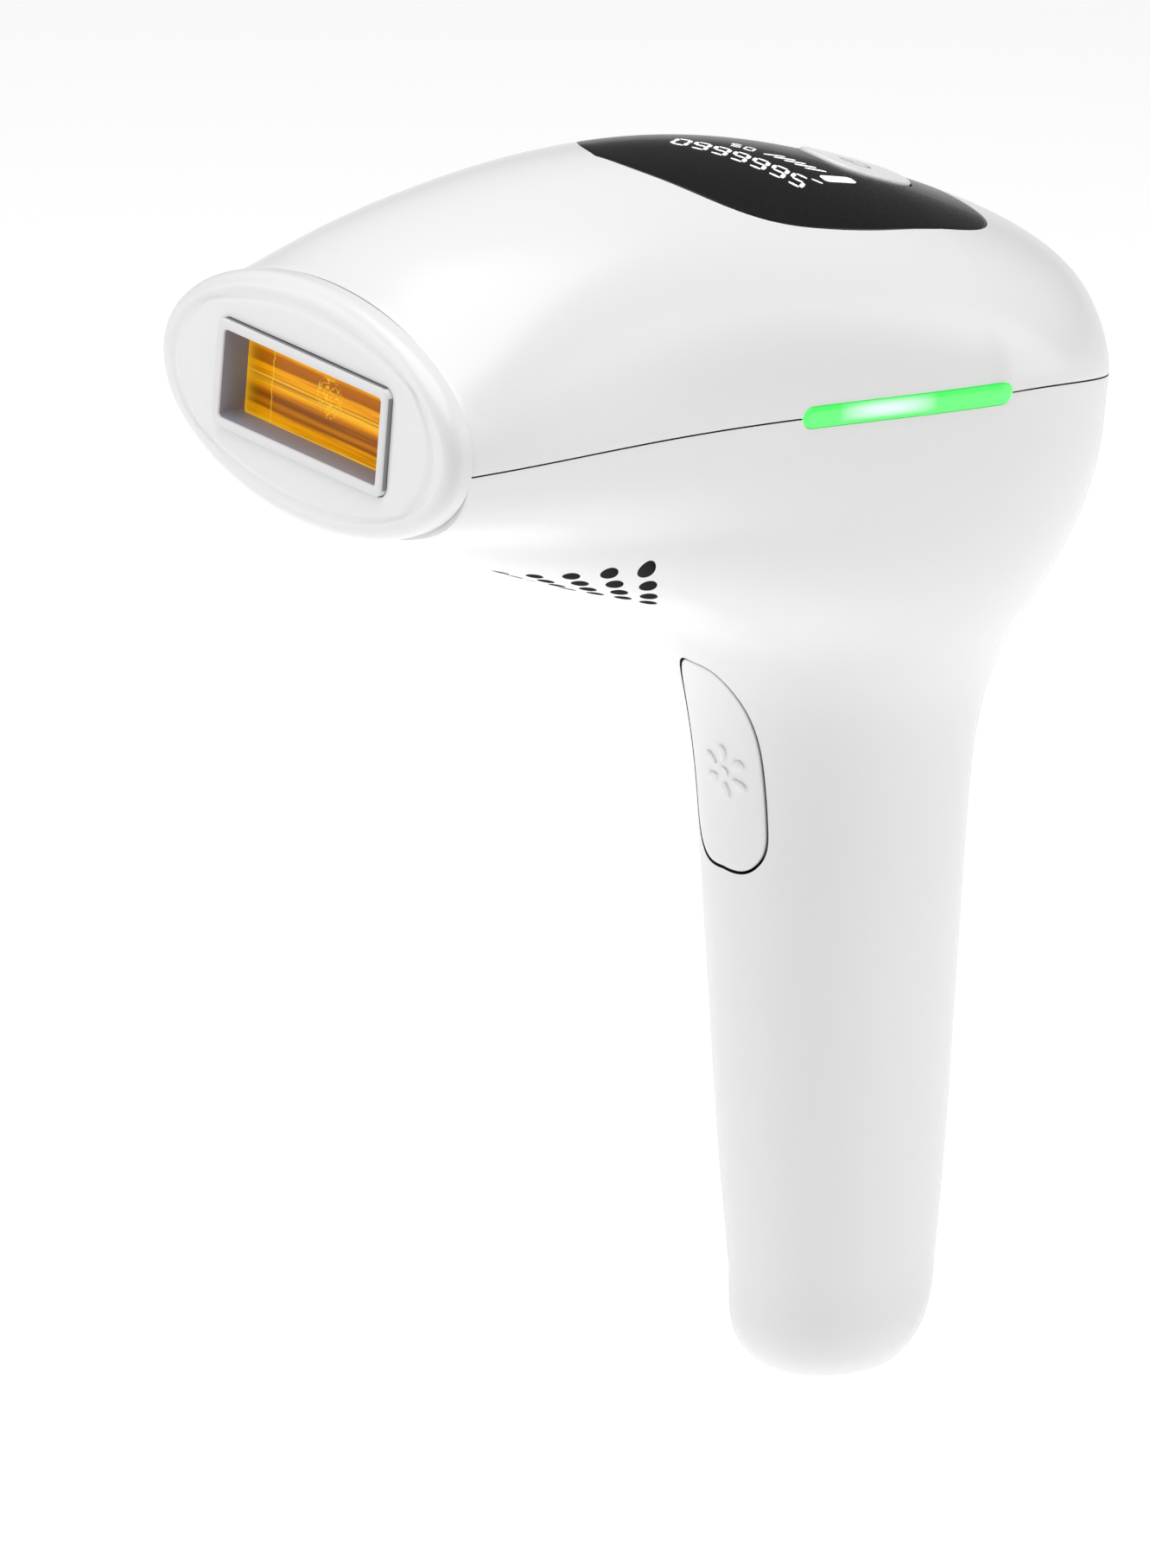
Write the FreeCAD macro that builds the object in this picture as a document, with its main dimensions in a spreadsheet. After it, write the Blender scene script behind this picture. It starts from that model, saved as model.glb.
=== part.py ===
import FreeCAD, Part
import math
import os
import re
import Sketcher

# Handheld light-pulse hair remover: a hollow pistol-shaped housing with a pull-off treatment head.
# Frame: millimetres, +Z up along the handle, the head points towards -Y, origin at the centre of the foot.
# Head frame: origin on the seam above the foot, +Y back along the head, +Z square to the seam.
# The head frame is pitched nose up, and the nose frame stands on its front end with +Z outwards.

os.makedirs("parts", exist_ok=True)
doc = FreeCAD.newDocument("LightPulseRemover")

# ---------------------------------------------------------------- driving dimensions
DIMENSIONS = {
    # outer form
    "seam_height": 153.1, "head_pitch": 5.3, "nose_length": 89.6, "back_length": 36.0,
    "half_width": 35.4, "waist_share": 0.11, "head_rise": 30.6, "nose_reach": 213.0,
    "wall": 2.4, "floor": 3.0,
    "foot_front": 8.5, "foot_back": 4.5, "foot_half": 7.0, "foot_round_front": 9.0, "foot_round_back": 14.0,
    "grip_front": 19.0, "grip_back": 19.0, "grip_half": 16.3,
    # pull-off treatment head: measured from the joint, outwards
    "nozzle_half_width": 32.3, "nozzle_half_height": 17.05, "nozzle_rise": 1.4, "nozzle_depth": 4.0,
    "nozzle_round": 2.4, "joint_gap": 0.05, "frame_width": 37.2, "frame_height": 15.4, "frame_rim": 1.45,
    "frame_proud": 0.8, "peg_radius": 1.5, "peg_depth": 2.5, "peg_across": 24.5,
    "fit_gap": 0.1,
    # bezel, filter and lamp: measured from the joint, inwards
    "bezel_depth": 4.0, "bezel_margin": 3.5, "glass_width": 36.6, "glass_height": 14.8, "glass_depth": 2.0,
    "lamp_radius": 3.5, "lamp_wall": 0.8, "lamp_length": 46.0, "lamp_depth": 11.0,
    "cap_radius": 2.6, "cap_length": 2.6, "lead_radius": 0.5, "lead_length": 1.6,
    "reflector_wall": 0.8, "reflector_depth": 13.2, "trough_radius": 6.3, "trough_depth": 10.2,
    "holder_start": 8.6, "holder_end": 20.0, "holder_width": 44.0, "holder_height": 18.6,
    "wire_radius": 0.25, "wire_step": 13.0, "wire_coils": 3,
    "screw_radius": 1.1, "screw_head_radius": 2.0, "screw_head_depth": 1.3, "screw_length": 6.2,
    "screw_across": 12.0, "screw_up": 10.0, "boss_half": 2.6, "boss_depth": 4.2, "thread_gap": 0.02,
    # cooling
    "fan_hole_inset": 2.5, "fan_rim": 0.5,
    "sink_gap": 0.2, "sink_width": 44.0, "sink_height": 24.0, "sink_base": 2.5, "sink_depth": 11.0,
    "fin_gap": 2.2, "fin_pitch": 4.0, "fin_count": 10,
    "fan_gap": 1.5, "fan_side": 30.0, "fan_depth": 10.0, "fan_bore": 13.8, "fan_hole": 1.0, "fan_hub": 7.0,
    "fan_tip": 13.0, "fan_blade": 1.0, "fan_blades": 7, "fan_twist": 40.0, "fan_rotor_depth": 6.8,
    "fan_plate": 1.6, "fan_spoke": 3.0, "axle_radius": 1.5, "axle_gap": 0.05, "fan_end_gap": 0.5,
    "vent_radius": 1.35, "vent_first": 17.5, "vent_pitch": 3.5, "vent_rows": 4, "vent_angle": 11.5,
    "vent_columns": 5, "vent_centre": 34.0, "vent_floor": 9.0,
    # display, power button and main board
    "lens_thickness": 1.3, "lens_gap": 0.12, "lens_ledge": 3.5,
    "button_half": 6.7, "button_along": 7.3, "button_back": 1.5, "button_skin": 3.0, "button_proud": 0.5,
    "button_power": 2.8,
    "button_gap": 0.3, "button_travel": 0.6, "button_post": 2.0,
    "switch_side": 6.0, "switch_body": 3.5, "plunger_radius": 1.7, "plunger_height": 1.4, "stop_gap": 0.05,
    "board_thickness": 1.6, "board_width": 46.0, "board_length": 56.0, "board_front": 36.0, "board_rise": 5.0,
    "module_width": 34.0, "module_length": 24.0, "module_height": 9.5, "module_front": 34.0,
    "post_radius": 2.0, "post_inset": 3.5, "small_screw": 0.9, "small_head": 1.7, "small_head_depth": 1.0,
    "small_length": 5.0, "seat_gap": 0.05,
    "buzzer_radius": 4.5, "buzzer_height": 3.4, "buzzer_port": 0.8, "buzzer_across": 14.0,
    "buzzer_back": 11.0,
    # power board and its transformer
    "power_width": 40.0, "power_length": 50.0, "power_front": 34.0, "power_drop": 9.0,
    "core_side": 18.0, "core_height": 13.0, "core_leg": 3.0, "core_plate": 3.0, "winding_radius": 7.0,
    "core_back": 2.0,
    # side light bars
    "bar_length": 34.0, "bar_height": 3.1, "bar_front": 31.2, "bar_proud": 0.4, "bar_depth": 2.7,
    "led_board_depth": 1.2, "led_board_margin": 1.0, "led_board_across": 27.0,
    "led_side": 1.6, "led_depth": 0.8, "led_count": 4,
    # trigger on the grip
    "trigger_top": 108.8, "trigger_bottom": 77.9, "trigger_half": 7.5, "trigger_skin": 2.2,
    "trigger_gap": 0.3,
    "trigger_travel": 1.0, "trigger_post": 2.2, "trigger_line": 92.5,
    "trigger_board_width": 14.0, "trigger_board_height": 26.0, "trigger_board_back": 6.4, "rail_height": 5.0,
    "rail_depth": 4.0,
    # handle contents
    "capacitor_radius": 9.0, "capacitor_height": 42.0, "capacitor_bottom": 30.0, "capacitor_bevel": 0.8,
    "rib_thickness": 1.6, "rib_low": 35.0, "rib_high": 66.0,
    "socket_height": 19.0, "socket_width": 9.0, "socket_tall": 11.0, "socket_depth": 12.0,
    "socket_face": 11.3,
    "socket_bore": 3.1, "socket_bore_depth": 9.5, "socket_pin": 1.05, "socket_pin_length": 9.0,
    "socket_mouth": 4.2, "socket_root": 0.2,
}

sheet = doc.addObject("Spreadsheet::Sheet", "Sizes")
for row, (alias, value) in enumerate(DIMENSIONS.items(), start=1):
    sheet.set("A%d" % row, alias)
    sheet.set("B%d" % row, str(value))
    sheet.setAlias("B%d" % row, alias)
doc.recompute()


def size(alias):
    """One driving dimension, read back from the sheet."""
    return float(sheet.get(alias))


def bound(formula):
    """A formula in plain aliases, written the way an expression names the sheet's cells."""
    return re.sub(r"[a-z][a-z_]+", lambda word: "Sizes." + word.group(0), formula)


# ---------------------------------------------------------------- frames and placements
HEAD = FreeCAD.Placement(
    FreeCAD.Vector(0, 0, size("seam_height")),
    FreeCAD.Rotation(FreeCAD.Vector(1, 0, 0), -size("head_pitch")),
)
UPRIGHT = FreeCAD.Placement()
FACING_FRONT = FreeCAD.Rotation(FreeCAD.Vector(1, 0, 0), 90)    # local +Z turns to -Y
FACING_BACK = FreeCAD.Rotation(FreeCAD.Vector(1, 0, 0), -90)    # local +Z turns to +Y
FACING_SIDE = FreeCAD.Rotation(FreeCAD.Vector(0, 1, 0), 90)     # local +Z turns to +X
FLAT = FreeCAD.Rotation()


def at(x, y, z, frame=UPRIGHT, turn=FLAT):
    """A placement at a point of a frame, turned there."""
    return frame.multiply(FreeCAD.Placement(FreeCAD.Vector(x, y, z), turn))


nodes = []


def node(item, label, placement=None):
    """Registers an object as a sub-part under its own label."""
    item.Label = label
    if placement is not None:
        item.Placement = placement
    nodes.append(item)
    return item


# ---------------------------------------------------------------- outlines of the housing
def smooth_through(points):
    """A monotone cubic through a short list of points."""
    xs = [point[0] for point in points]
    ys = [point[1] for point in points]
    last = len(xs) - 1
    steps = [xs[i + 1] - xs[i] for i in range(last)]
    slopes = [(ys[i + 1] - ys[i]) / steps[i] for i in range(last)]
    tangents = [slopes[0]]
    for i in range(1, last):
        if slopes[i - 1] * slopes[i] <= 0:
            tangents.append(0.0)
            continue
        before = 2 * steps[i] + steps[i - 1]
        after = steps[i] + 2 * steps[i - 1]
        tangents.append((before + after) / (before / slopes[i - 1] + after / slopes[i]))
    tangents.append(slopes[-1])

    def curve(x):
        x = min(max(x, xs[0]), xs[-1])
        i = 0
        while i < last - 1 and x > xs[i + 1]:
            i += 1
        t = (x - xs[i]) / steps[i]
        start = (1 + 2 * t) * (1 - t) ** 2 * ys[i] + t * (1 - t) ** 2 * steps[i] * tangents[i]
        end = t ** 2 * (3 - 2 * t) * ys[i + 1] + t ** 2 * (t - 1) * steps[i] * tangents[i + 1]
        return start + end

    return curve


NOSE = size("nose_length")
BACK = size("back_length")
HALF = size("half_width")
SEAM = size("seam_height")
REACH = size("nose_reach")
WALL = size("wall")

# height of the head's crest, as shares of the nose's or the back's length and of head_rise
CREST = smooth_through([
    (-1.2, 0.49), (-1.0, 0.60), (-0.89, 0.75), (-0.725, 0.91), (-0.47, 1.0),
    (-0.27, 0.957), (0.0, 0.761), (0.52, 0.552), (1.0, 0.41),
])
CREST_END, CREST_FADE = 4.0, 0.45
SIDE_END = 2.5

# half sizes of the slices through handle and neck, as shares of seam_height and of the grip's size
FRONT = smooth_through([
    (0.091, 0.80), (0.20, 0.875), (0.445, 1.0), (0.55, 1.047), (0.614, 1.095), (0.666, 1.18),
    (0.705, 1.31), (0.738, 1.50), (0.764, 1.84), (0.798, 2.60), (0.832, 3.40), (0.862, 4.03),
    (0.899, 4.80), (0.924, 6.2), (0.958, 8.95), (1.0, 11.21),
])
REAR = smooth_through([
    (0.091, 0.80), (0.20, 0.875), (0.445, 1.0), (0.55, 1.058), (0.614, 1.12), (0.666, 1.22),
    (0.718, 1.32), (0.764, 1.46), (0.816, 1.62), (0.869, 1.76), (0.934, 1.86), (1.0, 1.895),
])
SIDE = smooth_through([
    (0.091, 0.785), (0.20, 0.873), (0.445, 1.0), (0.55, 1.057), (0.614, 1.12), (0.666, 1.226),
    (0.718, 1.43), (0.764, 1.67), (0.816, 1.90), (0.869, 2.05), (0.934, 2.147), (1.0, 2.172),
])
SLICES = (
    0.15, 0.20, 0.28, 0.37, 0.46, 0.54, 0.60, 0.645, 0.68, 0.71, 0.735, 0.757, 0.779, 0.802, 0.825,
    0.848, 0.871, 0.894, 0.917, 0.940, 0.963, 0.982, 1.0,
)
FOOT_SLICES = (0.0, 0.04, 0.14, 0.32, 0.58, 0.86)
INNER_RISES = (0.01, 1.0, 3.0, 6.0, 11.0)
PAST_JOINT = 1.0
TILT_FROM, TILT_TO = 0.60, 0.757
WAIST_FROM, WAIST_TO = -1.116, 0.28
AROUND = 48
ARC_STEPS, NOSE_STEPS, BACK_STEPS = 12, 9, 10
LAST_SHARE = 0.998
END_SHARE = 0.5
SLOPE_STEP, SLOPE_LIMIT = 0.004, 3.0
SEAM_OVERLAP = 1.5

# per direction: its curve, its size on the grip, its size at the seam, where it starts to fade to that,
# and its half size and rounding at the foot
OUTLINES = (
    (FRONT, size("grip_front"), REACH, 0.9, size("foot_front"), size("foot_round_front")),
    (REAR, size("grip_back"), BACK, 0.7, size("foot_back"), size("foot_round_back")),
    (SIDE, size("grip_half"), HALF, 0.7, size("foot_half"), size("foot_round_front")),
)


def waist(along):
    """How much narrower the head is at a place along it, as a factor."""
    share = along / NOSE if along < 0 else along / BACK
    if share <= WAIST_FROM or share >= WAIST_TO:
        return 1.0
    start = WAIST_FROM * NOSE
    end = WAIST_TO * BACK
    return 1.0 - size("waist_share") * math.sin(math.pi * (along - start) / (end - start)) ** 2


def head_half(along):
    """Half width of the head at the seam."""
    if along > 0:
        return HALF * (1 - min(1.0, along / BACK) ** SIDE_END) ** (1 / SIDE_END)
    return HALF * math.sqrt(1 - (along / REACH) ** 2) * waist(along)


def head_top(along):
    """Height of the crest over the seam."""
    share = along / NOSE if along < 0 else along / BACK
    height = CREST(share) * size("head_rise")
    if along > 0:
        height *= (1 - min(1.0, share) ** CREST_END) ** CREST_FADE
    return height


def slope_factor(curve, grip, share):
    """How much wider a wall measures in a slice than square to its surface."""
    rise = (curve(share + SLOPE_STEP) - curve(share - SLOPE_STEP)) * grip / (2 * SLOPE_STEP * SEAM)
    return min(SLOPE_LIMIT, math.sqrt(1 + rise * rise))


def slice_sizes(height, inset):
    """Front, rear and side half sizes of the housing at a height over the foot."""
    share = height / SEAM
    sizes = []
    for curve, grip, end, fade_from, foot, radius in OUTLINES:
        full = curve(share) * grip + (end - curve(1.0) * grip) * between(share, fade_from, 1.0)
        full -= inset * slope_factor(curve, grip, share)
        sizes.append(foot_blend(full, foot, height, radius))
    return sizes


def foot_blend(full, foot, height, radius):
    """Rounds the lower end of the handle from the flat foot out to the grip."""
    if height >= radius:
        return full
    return foot + (full - foot) * math.sqrt(1 - ((radius - height) / radius) ** 2)


def between(value, low, high):
    """Where a value stands from low to high, held to 0 and 1."""
    return min(1.0, max(0.0, (value - low) / (high - low)))


def slice_half(y, front, rear, side, rear_power):
    """Half width of a slice at a place along it, with a rounded end just past the joint."""
    if y >= 0:
        return side * (1 - min(1.0, y / rear) ** rear_power) ** (1 / rear_power)
    if y >= -NOSE:
        return side * math.sqrt(max(0.0, 1 - (y / front) ** 2))
    joint = side * math.sqrt(1 - (NOSE / front) ** 2)
    return joint * math.sqrt(max(0.0, 1 - ((-NOSE - y) / (END_SHARE * joint)) ** 2))


def handle_slice(height, inset):
    """A closed curve round the handle or the underside of the head."""
    front, rear, side = slice_sizes(height, inset)
    share = height / SEAM
    tilt = math.radians(size("head_pitch")) * between(share, TILT_FROM, TILT_TO)
    rear_power = 2.0 + (SIDE_END - 2.0) * between(share, 0.65, 1.0)
    narrowing = between(share, 0.73, 0.93)
    reach = front
    if front > NOSE:
        reach = NOSE + END_SHARE * side * math.sqrt(1 - (NOSE / front) ** 2)
    points = []
    for i in range(AROUND):
        turn = 2 * math.pi * i / AROUND
        along = math.cos(turn)
        y = along * (rear if along > 0 else reach)
        half = slice_half(y, front, rear, side, rear_power)
        x = math.copysign(half, math.sin(turn)) * (1 - (1 - waist(y)) * narrowing)
        points.append(FreeCAD.Vector(x, y * math.cos(tilt), height - y * math.sin(tilt)))
    curve = Part.BSplineCurve()
    curve.interpolate(Points=points, PeriodicFlag=True, Parameters=list(range(AROUND + 1)))
    return Part.Wire([curve.toShape()])


def handle_form(inset):
    """The solid form below the seam, cut off at the joint with the treatment head."""
    heights = [share * SEAM for share in SLICES]
    past = 0.0
    if inset > 0:
        heights = [height for height in heights if height > size("floor") + INNER_RISES[-1] + past]
        heights = [size("floor") + rise for rise in INNER_RISES] + heights
        past = PAST_JOINT
    else:
        heights = [share * size("foot_round_back") for share in FOOT_SLICES] + heights
    heights.append(SEAM + SEAM_OVERLAP)
    form = Part.makeLoft([handle_slice(height, inset) for height in heights], True, False)
    room = Part.makeBox(
        4 * HALF, NOSE + 2 * BACK + past, 2 * SEAM + past,
        FreeCAD.Vector(-2 * HALF, -NOSE - past, -2 * SEAM),
    )
    room.Placement = HEAD
    return form.common(room)


def head_section(along, half, top, skirt):
    """A half-round section across the head, standing on the seam or on a skirt below it."""
    arc = []
    for i in range(ARC_STEPS + 1):
        turn = math.pi * i / ARC_STEPS
        arc.append(FreeCAD.Vector(half * math.cos(turn), along, top * math.sin(turn)))
    curve = Part.BSplineCurve()
    curve.interpolate(Points=arc, Parameters=list(range(ARC_STEPS + 1)))
    if skirt == 0:
        return Part.Wire([curve.toShape(), Part.makeLine(arc[-1], arc[0])])
    low_left = FreeCAD.Vector(-half, along, -skirt)
    low_right = FreeCAD.Vector(half, along, -skirt)
    return Part.Wire([
        curve.toShape(), Part.makeLine(arc[-1], low_left),
        Part.makeLine(low_left, low_right), Part.makeLine(low_right, arc[0]),
    ])


def head_form(inset):
    """The solid form above the seam, in the head frame."""
    places = [-NOSE + NOSE * i / NOSE_STEPS for i in range(NOSE_STEPS)]
    places += [BACK * math.sin(0.5 * math.pi * i / BACK_STEPS) for i in range(BACK_STEPS)]
    if inset == 0:
        places.append(BACK * LAST_SHARE)
        return Part.makeLoft([head_section(y, head_half(y), head_top(y), 0) for y in places], True, False)
    sections = []
    for place in [-NOSE - PAST_JOINT] + places[1:-1]:
        inwards = place if place <= 0 else place * (BACK - inset) / BACK
        sections.append(head_section(inwards, head_half(place) - inset, head_top(place) - inset, PAST_JOINT))
    return Part.makeLoft(sections, True, False)


lower_outer = handle_form(0)
lower_inner = handle_form(WALL)
upper_outer = head_form(0)
upper_inner = head_form(WALL)
for form in (upper_outer, upper_inner):
    form.transformShape(HEAD.toMatrix())
lower_outer = lower_outer.Solids[0]
lower_inner = lower_inner.Solids[0]


def in_head(shape):
    """Moves a shape drawn in the head frame to its place."""
    shape.Placement = HEAD.multiply(shape.Placement)
    return shape


def moved(shape, offset, frame=UPRIGHT):
    """A copy of a shape, shifted along a frame's own axes."""
    copy = shape.copy()
    copy.translate(frame.Rotation.multVec(FreeCAD.Vector(*offset)))
    return copy


def prism(points_right, start, depth, direction, frame=UPRIGHT):
    """A mirrored outline through points of its right half, which end on the middle, extruded."""
    curve = Part.BSplineCurve()
    curve.interpolate(Points=points_right)
    half = curve.toShape()
    mirrored = half.mirror(FreeCAD.Vector(), FreeCAD.Vector(1, 0, 0))
    wire = Part.Wire(Part.__sortEdges__([half, mirrored]))
    body = Part.Face(wire).extrude(FreeCAD.Vector(*direction).multiply(depth))
    body.translate(FreeCAD.Vector(*direction).multiply(start))
    body.Placement = frame.multiply(body.Placement)
    return body


# ---------------------------------------------------------------- outlines cut into the housing
LENS_OUTLINE = (
    (0.0, -45.0), (5.2, -43.3), (9.5, -40.5), (15.0, -35.2), (18.4, -29.2), (20.3, -20.5), (20.6, -10.0),
    (19.9, -3.4), (18.6, 5.0), (16.2, 11.6), (12.4, 15.2), (6.5, 16.6), (0.0, 17.0),
)
LENS_MIDDLE = -14.0
BUTTON_STEPS = 12
TRIGGER_SHARES = (
    (0.0, 1.0), (0.36, 0.975), (0.72, 0.84), (0.96, 0.68), (1.0, 0.48), (0.98, 0.26), (0.86, 0.10),
    (0.52, 0.01), (0.0, -0.01),
)


def lens_prism(grow):
    """The leaf-shaped outline of the display lens through the cover, larger by a margin."""
    points = []
    for across, along in LENS_OUTLINE:
        out = FreeCAD.Vector(across, along - LENS_MIDDLE, 0)
        reach = out.Length
        out.multiply((reach + grow) / reach)
        points.append(FreeCAD.Vector(out.x, out.y + LENS_MIDDLE, 0))
    return prism(points, 0.0, 2 * size("head_rise"), (0, 0, 1), HEAD)


def button_prism(grow):
    """The rounded outline of the power button."""
    half = size("button_half") + grow
    along = size("button_along") + grow
    power = 2.0 / size("button_power")
    points = []
    for i in range(BUTTON_STEPS + 1):
        turn = math.pi * (i / BUTTON_STEPS - 0.5)
        across = max(0.0, math.cos(turn)) ** power
        lengthwise = math.copysign(abs(math.sin(turn)) ** power, turn)
        points.append(FreeCAD.Vector(half * across, along * lengthwise + size("button_back"), 0))
    points[0].x = 0
    points[-1].x = 0
    return prism(points, 0.0, 2 * size("head_rise"), (0, 0, 1), HEAD)


def trigger_prism(grow):
    """The arched outline of the trigger, through the front of the grip."""
    half = size("trigger_half") + grow
    top = size("trigger_top") + grow
    bottom = size("trigger_bottom") - grow
    tall = top - bottom
    points = [FreeCAD.Vector(half * across, 0, bottom + tall * up) for across, up in TRIGGER_SHARES]
    return prism(points, 0.0, 3 * size("grip_front"), (0, -1, 0))


def bar_prism(side, grow):
    """The round-ended outline of a light bar, through the side of the head."""
    half = size("bar_height") / 2 + grow
    length = size("bar_length") - size("bar_height")
    start = -size("bar_front") + size("bar_height") / 2
    parts = [Part.makeBox(HALF, length, 2 * half, FreeCAD.Vector(0, start, -half))]
    for y in (start, start + length):
        parts.append(Part.makeCylinder(half, HALF, FreeCAD.Vector(0, y, 0), FreeCAD.Vector(1, 0, 0)))
    body = parts[0].fuse(parts[1:]).removeSplitter()
    if side < 0:
        body = body.mirror(FreeCAD.Vector(), FreeCAD.Vector(1, 0, 0))
    body.translate(FreeCAD.Vector(side * HALF / 2, 0, 0))
    return in_head(body)


def skin(outer, outline, direction, thickness, proud, frame=UPRIGHT):
    """A piece of the outer skin inside an outline, with the same curve behind it."""
    raised = moved(outer, [axis * proud for axis in direction], frame)
    behind = moved(outer, [-axis * (thickness - proud) for axis in direction], frame)
    return outline.common(raised).cut(behind)


UP = (0, 0, 1)
OUT_FRONT = (0, -1, 0)
NOSE_FRAME = at(0, -NOSE, size("nozzle_rise"), HEAD, FACING_FRONT)


def feature(label, shape):
    """A sub-part whose shape is worked out above, kept in place."""
    item = doc.addObject("Part::Feature", label)
    item.Shape = shape
    return node(item, label)


# ---------------------------------------------------------------- upper cover, lens, power button
lens_floor = moved(upper_outer, (0, 0, -size("lens_thickness") - size("seat_gap")), HEAD)
cover = upper_outer.cut(upper_inner)
cover = cover.cut(lens_prism(size("lens_gap")).cut(lens_floor))
cover = cover.cut(lens_prism(-size("lens_ledge")))


def screw_spots():
    """Places of the four screws that hold the front bezel, in the nose frame."""
    across = size("screw_across")
    up = size("screw_up")
    return [(x, y) for y in (up, -up) for x in (-across, across)]


def boss(x, y):
    """A block behind the bezel that takes one screw, reaching well into the wall."""
    half = size("boss_half")
    depth = size("boss_depth")
    reach = size("head_rise") + 2 * half
    start = y - half if y > 0 else y + half - reach
    block = Part.makeBox(2 * half, reach, depth, FreeCAD.Vector(x - half, start, 0))
    block.translate(FreeCAD.Vector(0, 0, -size("bezel_depth") - size("seat_gap") - depth))
    block.Placement = NOSE_FRAME.multiply(block.Placement)
    return block


def pilot(x, y, radius):
    """The hole for one front screw."""
    depth = size("bezel_depth") + size("boss_depth") + size("screw_length")
    hole = Part.makeCylinder(radius, depth, FreeCAD.Vector(x, y, -depth))
    hole.Placement = NOSE_FRAME.multiply(hole.Placement)
    return hole


def corner_spots(width, front, length):
    """Places of a board's four mounting holes, in the head frame."""
    inset = size("post_inset")
    across = width / 2 - inset
    return [(x, y) for y in (-front + inset, -front + length - inset) for x in (-across, across)]


MAIN_SPOTS = corner_spots(size("board_width"), size("board_front"), size("board_length"))
POWER_SPOTS = corner_spots(size("power_width"), size("power_front"), size("power_length"))
thread = size("screw_radius") + size("thread_gap")
small_thread = size("small_screw") + size("thread_gap")
main_top = size("board_rise") + size("board_thickness")

for x, y in screw_spots()[:2]:
    cover = cover.fuse(boss(x, y).common(upper_outer)).cut(pilot(x, y, thread))
for x, y in MAIN_SPOTS:
    post_foot = FreeCAD.Vector(x, y, main_top + size("seat_gap"))
    post = in_head(Part.makeCylinder(size("post_radius"), size("head_rise"), post_foot))
    hole = in_head(Part.makeCylinder(small_thread, size("small_length"), post_foot))
    cover = cover.fuse(post.common(upper_outer)).cut(hole)

lens = skin(upper_outer, lens_prism(0), UP, size("lens_thickness"), 0, HEAD)
lens = lens.cut(button_prism(size("button_gap")))

button = skin(upper_outer, button_prism(0), UP, size("button_skin"), size("button_proud"), HEAD)
switch_top = main_top + size("switch_body") + size("plunger_height")
post_end = switch_top + size("button_travel") + size("stop_gap")
post_start = FreeCAD.Vector(0, size("button_back"), post_end)
post = in_head(Part.makeCylinder(size("button_post"), size("head_rise"), post_start))
under_skin = moved(upper_outer, (0, 0, size("button_proud") - size("button_skin") / 2), HEAD)
button = button.fuse(post.common(under_skin)).removeSplitter()

# ---------------------------------------------------------------- lower body and trigger
body = lower_outer.cut(lower_inner)
for x, y in screw_spots()[2:]:
    body = body.fuse(boss(x, y).common(lower_outer)).cut(pilot(x, y, thread))
for x, y in POWER_SPOTS:
    top = -size("power_drop") - size("seat_gap")
    post = in_head(Part.makeCylinder(size("post_radius"), SEAM / 2, FreeCAD.Vector(x, y, top - SEAM / 2)))
    hole = in_head(Part.makeCylinder(small_thread, size("small_length"),
                                     FreeCAD.Vector(x, y, top - size("small_length"))))
    body = body.fuse(post.common(lower_outer)).cut(hole)
for height in (size("rib_low"), size("rib_high")):
    corner = FreeCAD.Vector(-2 * HALF, -2 * HALF, height)
    slab = Part.makeBox(4 * HALF, 4 * HALF, size("rib_thickness"), corner)
    rib = slab.common(lower_outer)
    body = body.fuse(rib.cut(Part.makeCylinder(size("capacitor_radius") + size("fit_gap"), SEAM)))
rail_back = -size("trigger_board_back") + size("board_thickness")
for side in (-1, 1):
    for height in (-size("trigger_board_height") / 4, size("trigger_board_height") / 4):
        corner = FreeCAD.Vector(
            size("trigger_board_width") / 2 + size("seat_gap"), rail_back - size("rail_depth"),
            size("trigger_line") + height - size("rail_height") / 2,
        )
        rail = Part.makeBox(HALF, size("rail_depth"), size("rail_height"), corner)
        if side < 0:
            rail = rail.mirror(FreeCAD.Vector(), FreeCAD.Vector(1, 0, 0))
        body = body.fuse(rail.common(lower_outer))
for row in range(int(size("vent_rows"))):
    radius = size("vent_first") + row * size("vent_pitch")
    for column in range(-int(size("vent_columns")), int(size("vent_columns")) + 1):
        turn = math.radians(column * size("vent_angle"))
        along = -size("vent_centre") - radius * math.cos(turn)
        spot = FreeCAD.Vector(radius * math.sin(turn), along, -SEAM / 2)
        body = body.cut(in_head(Part.makeCylinder(size("vent_radius"), SEAM / 2 - size("vent_floor"), spot)))
behind_trigger = FreeCAD.Vector(-2 * HALF, -2 * size("trigger_board_back"), 0)
trigger_opening = trigger_prism(size("trigger_gap"))
body = body.cut(trigger_opening.cut(Part.makeBox(4 * HALF, 4 * HALF, SEAM, behind_trigger)))
mouth_start = FreeCAD.Vector(0, size("socket_face") - size("wall"), size("socket_height"))
body = body.cut(Part.makeCylinder(size("socket_mouth"), BACK, mouth_start, FreeCAD.Vector(0, 1, 0)))

trigger = skin(lower_outer, trigger_prism(0), OUT_FRONT, size("trigger_skin"), 0)
trigger_switch_face = -size("trigger_board_back") - size("board_thickness") - size("switch_body")
trigger_post_end = trigger_switch_face - size("plunger_height") - size("trigger_travel") - size("stop_gap")
post = Part.makeCylinder(
    size("trigger_post"), size("grip_front"),
    FreeCAD.Vector(0, trigger_post_end, size("trigger_line")), FreeCAD.Vector(0, -1, 0),
)
under_trigger = moved(lower_outer, (0, size("trigger_skin") / 2, 0))
trigger = trigger.fuse(post.common(under_trigger)).removeSplitter()

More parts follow.
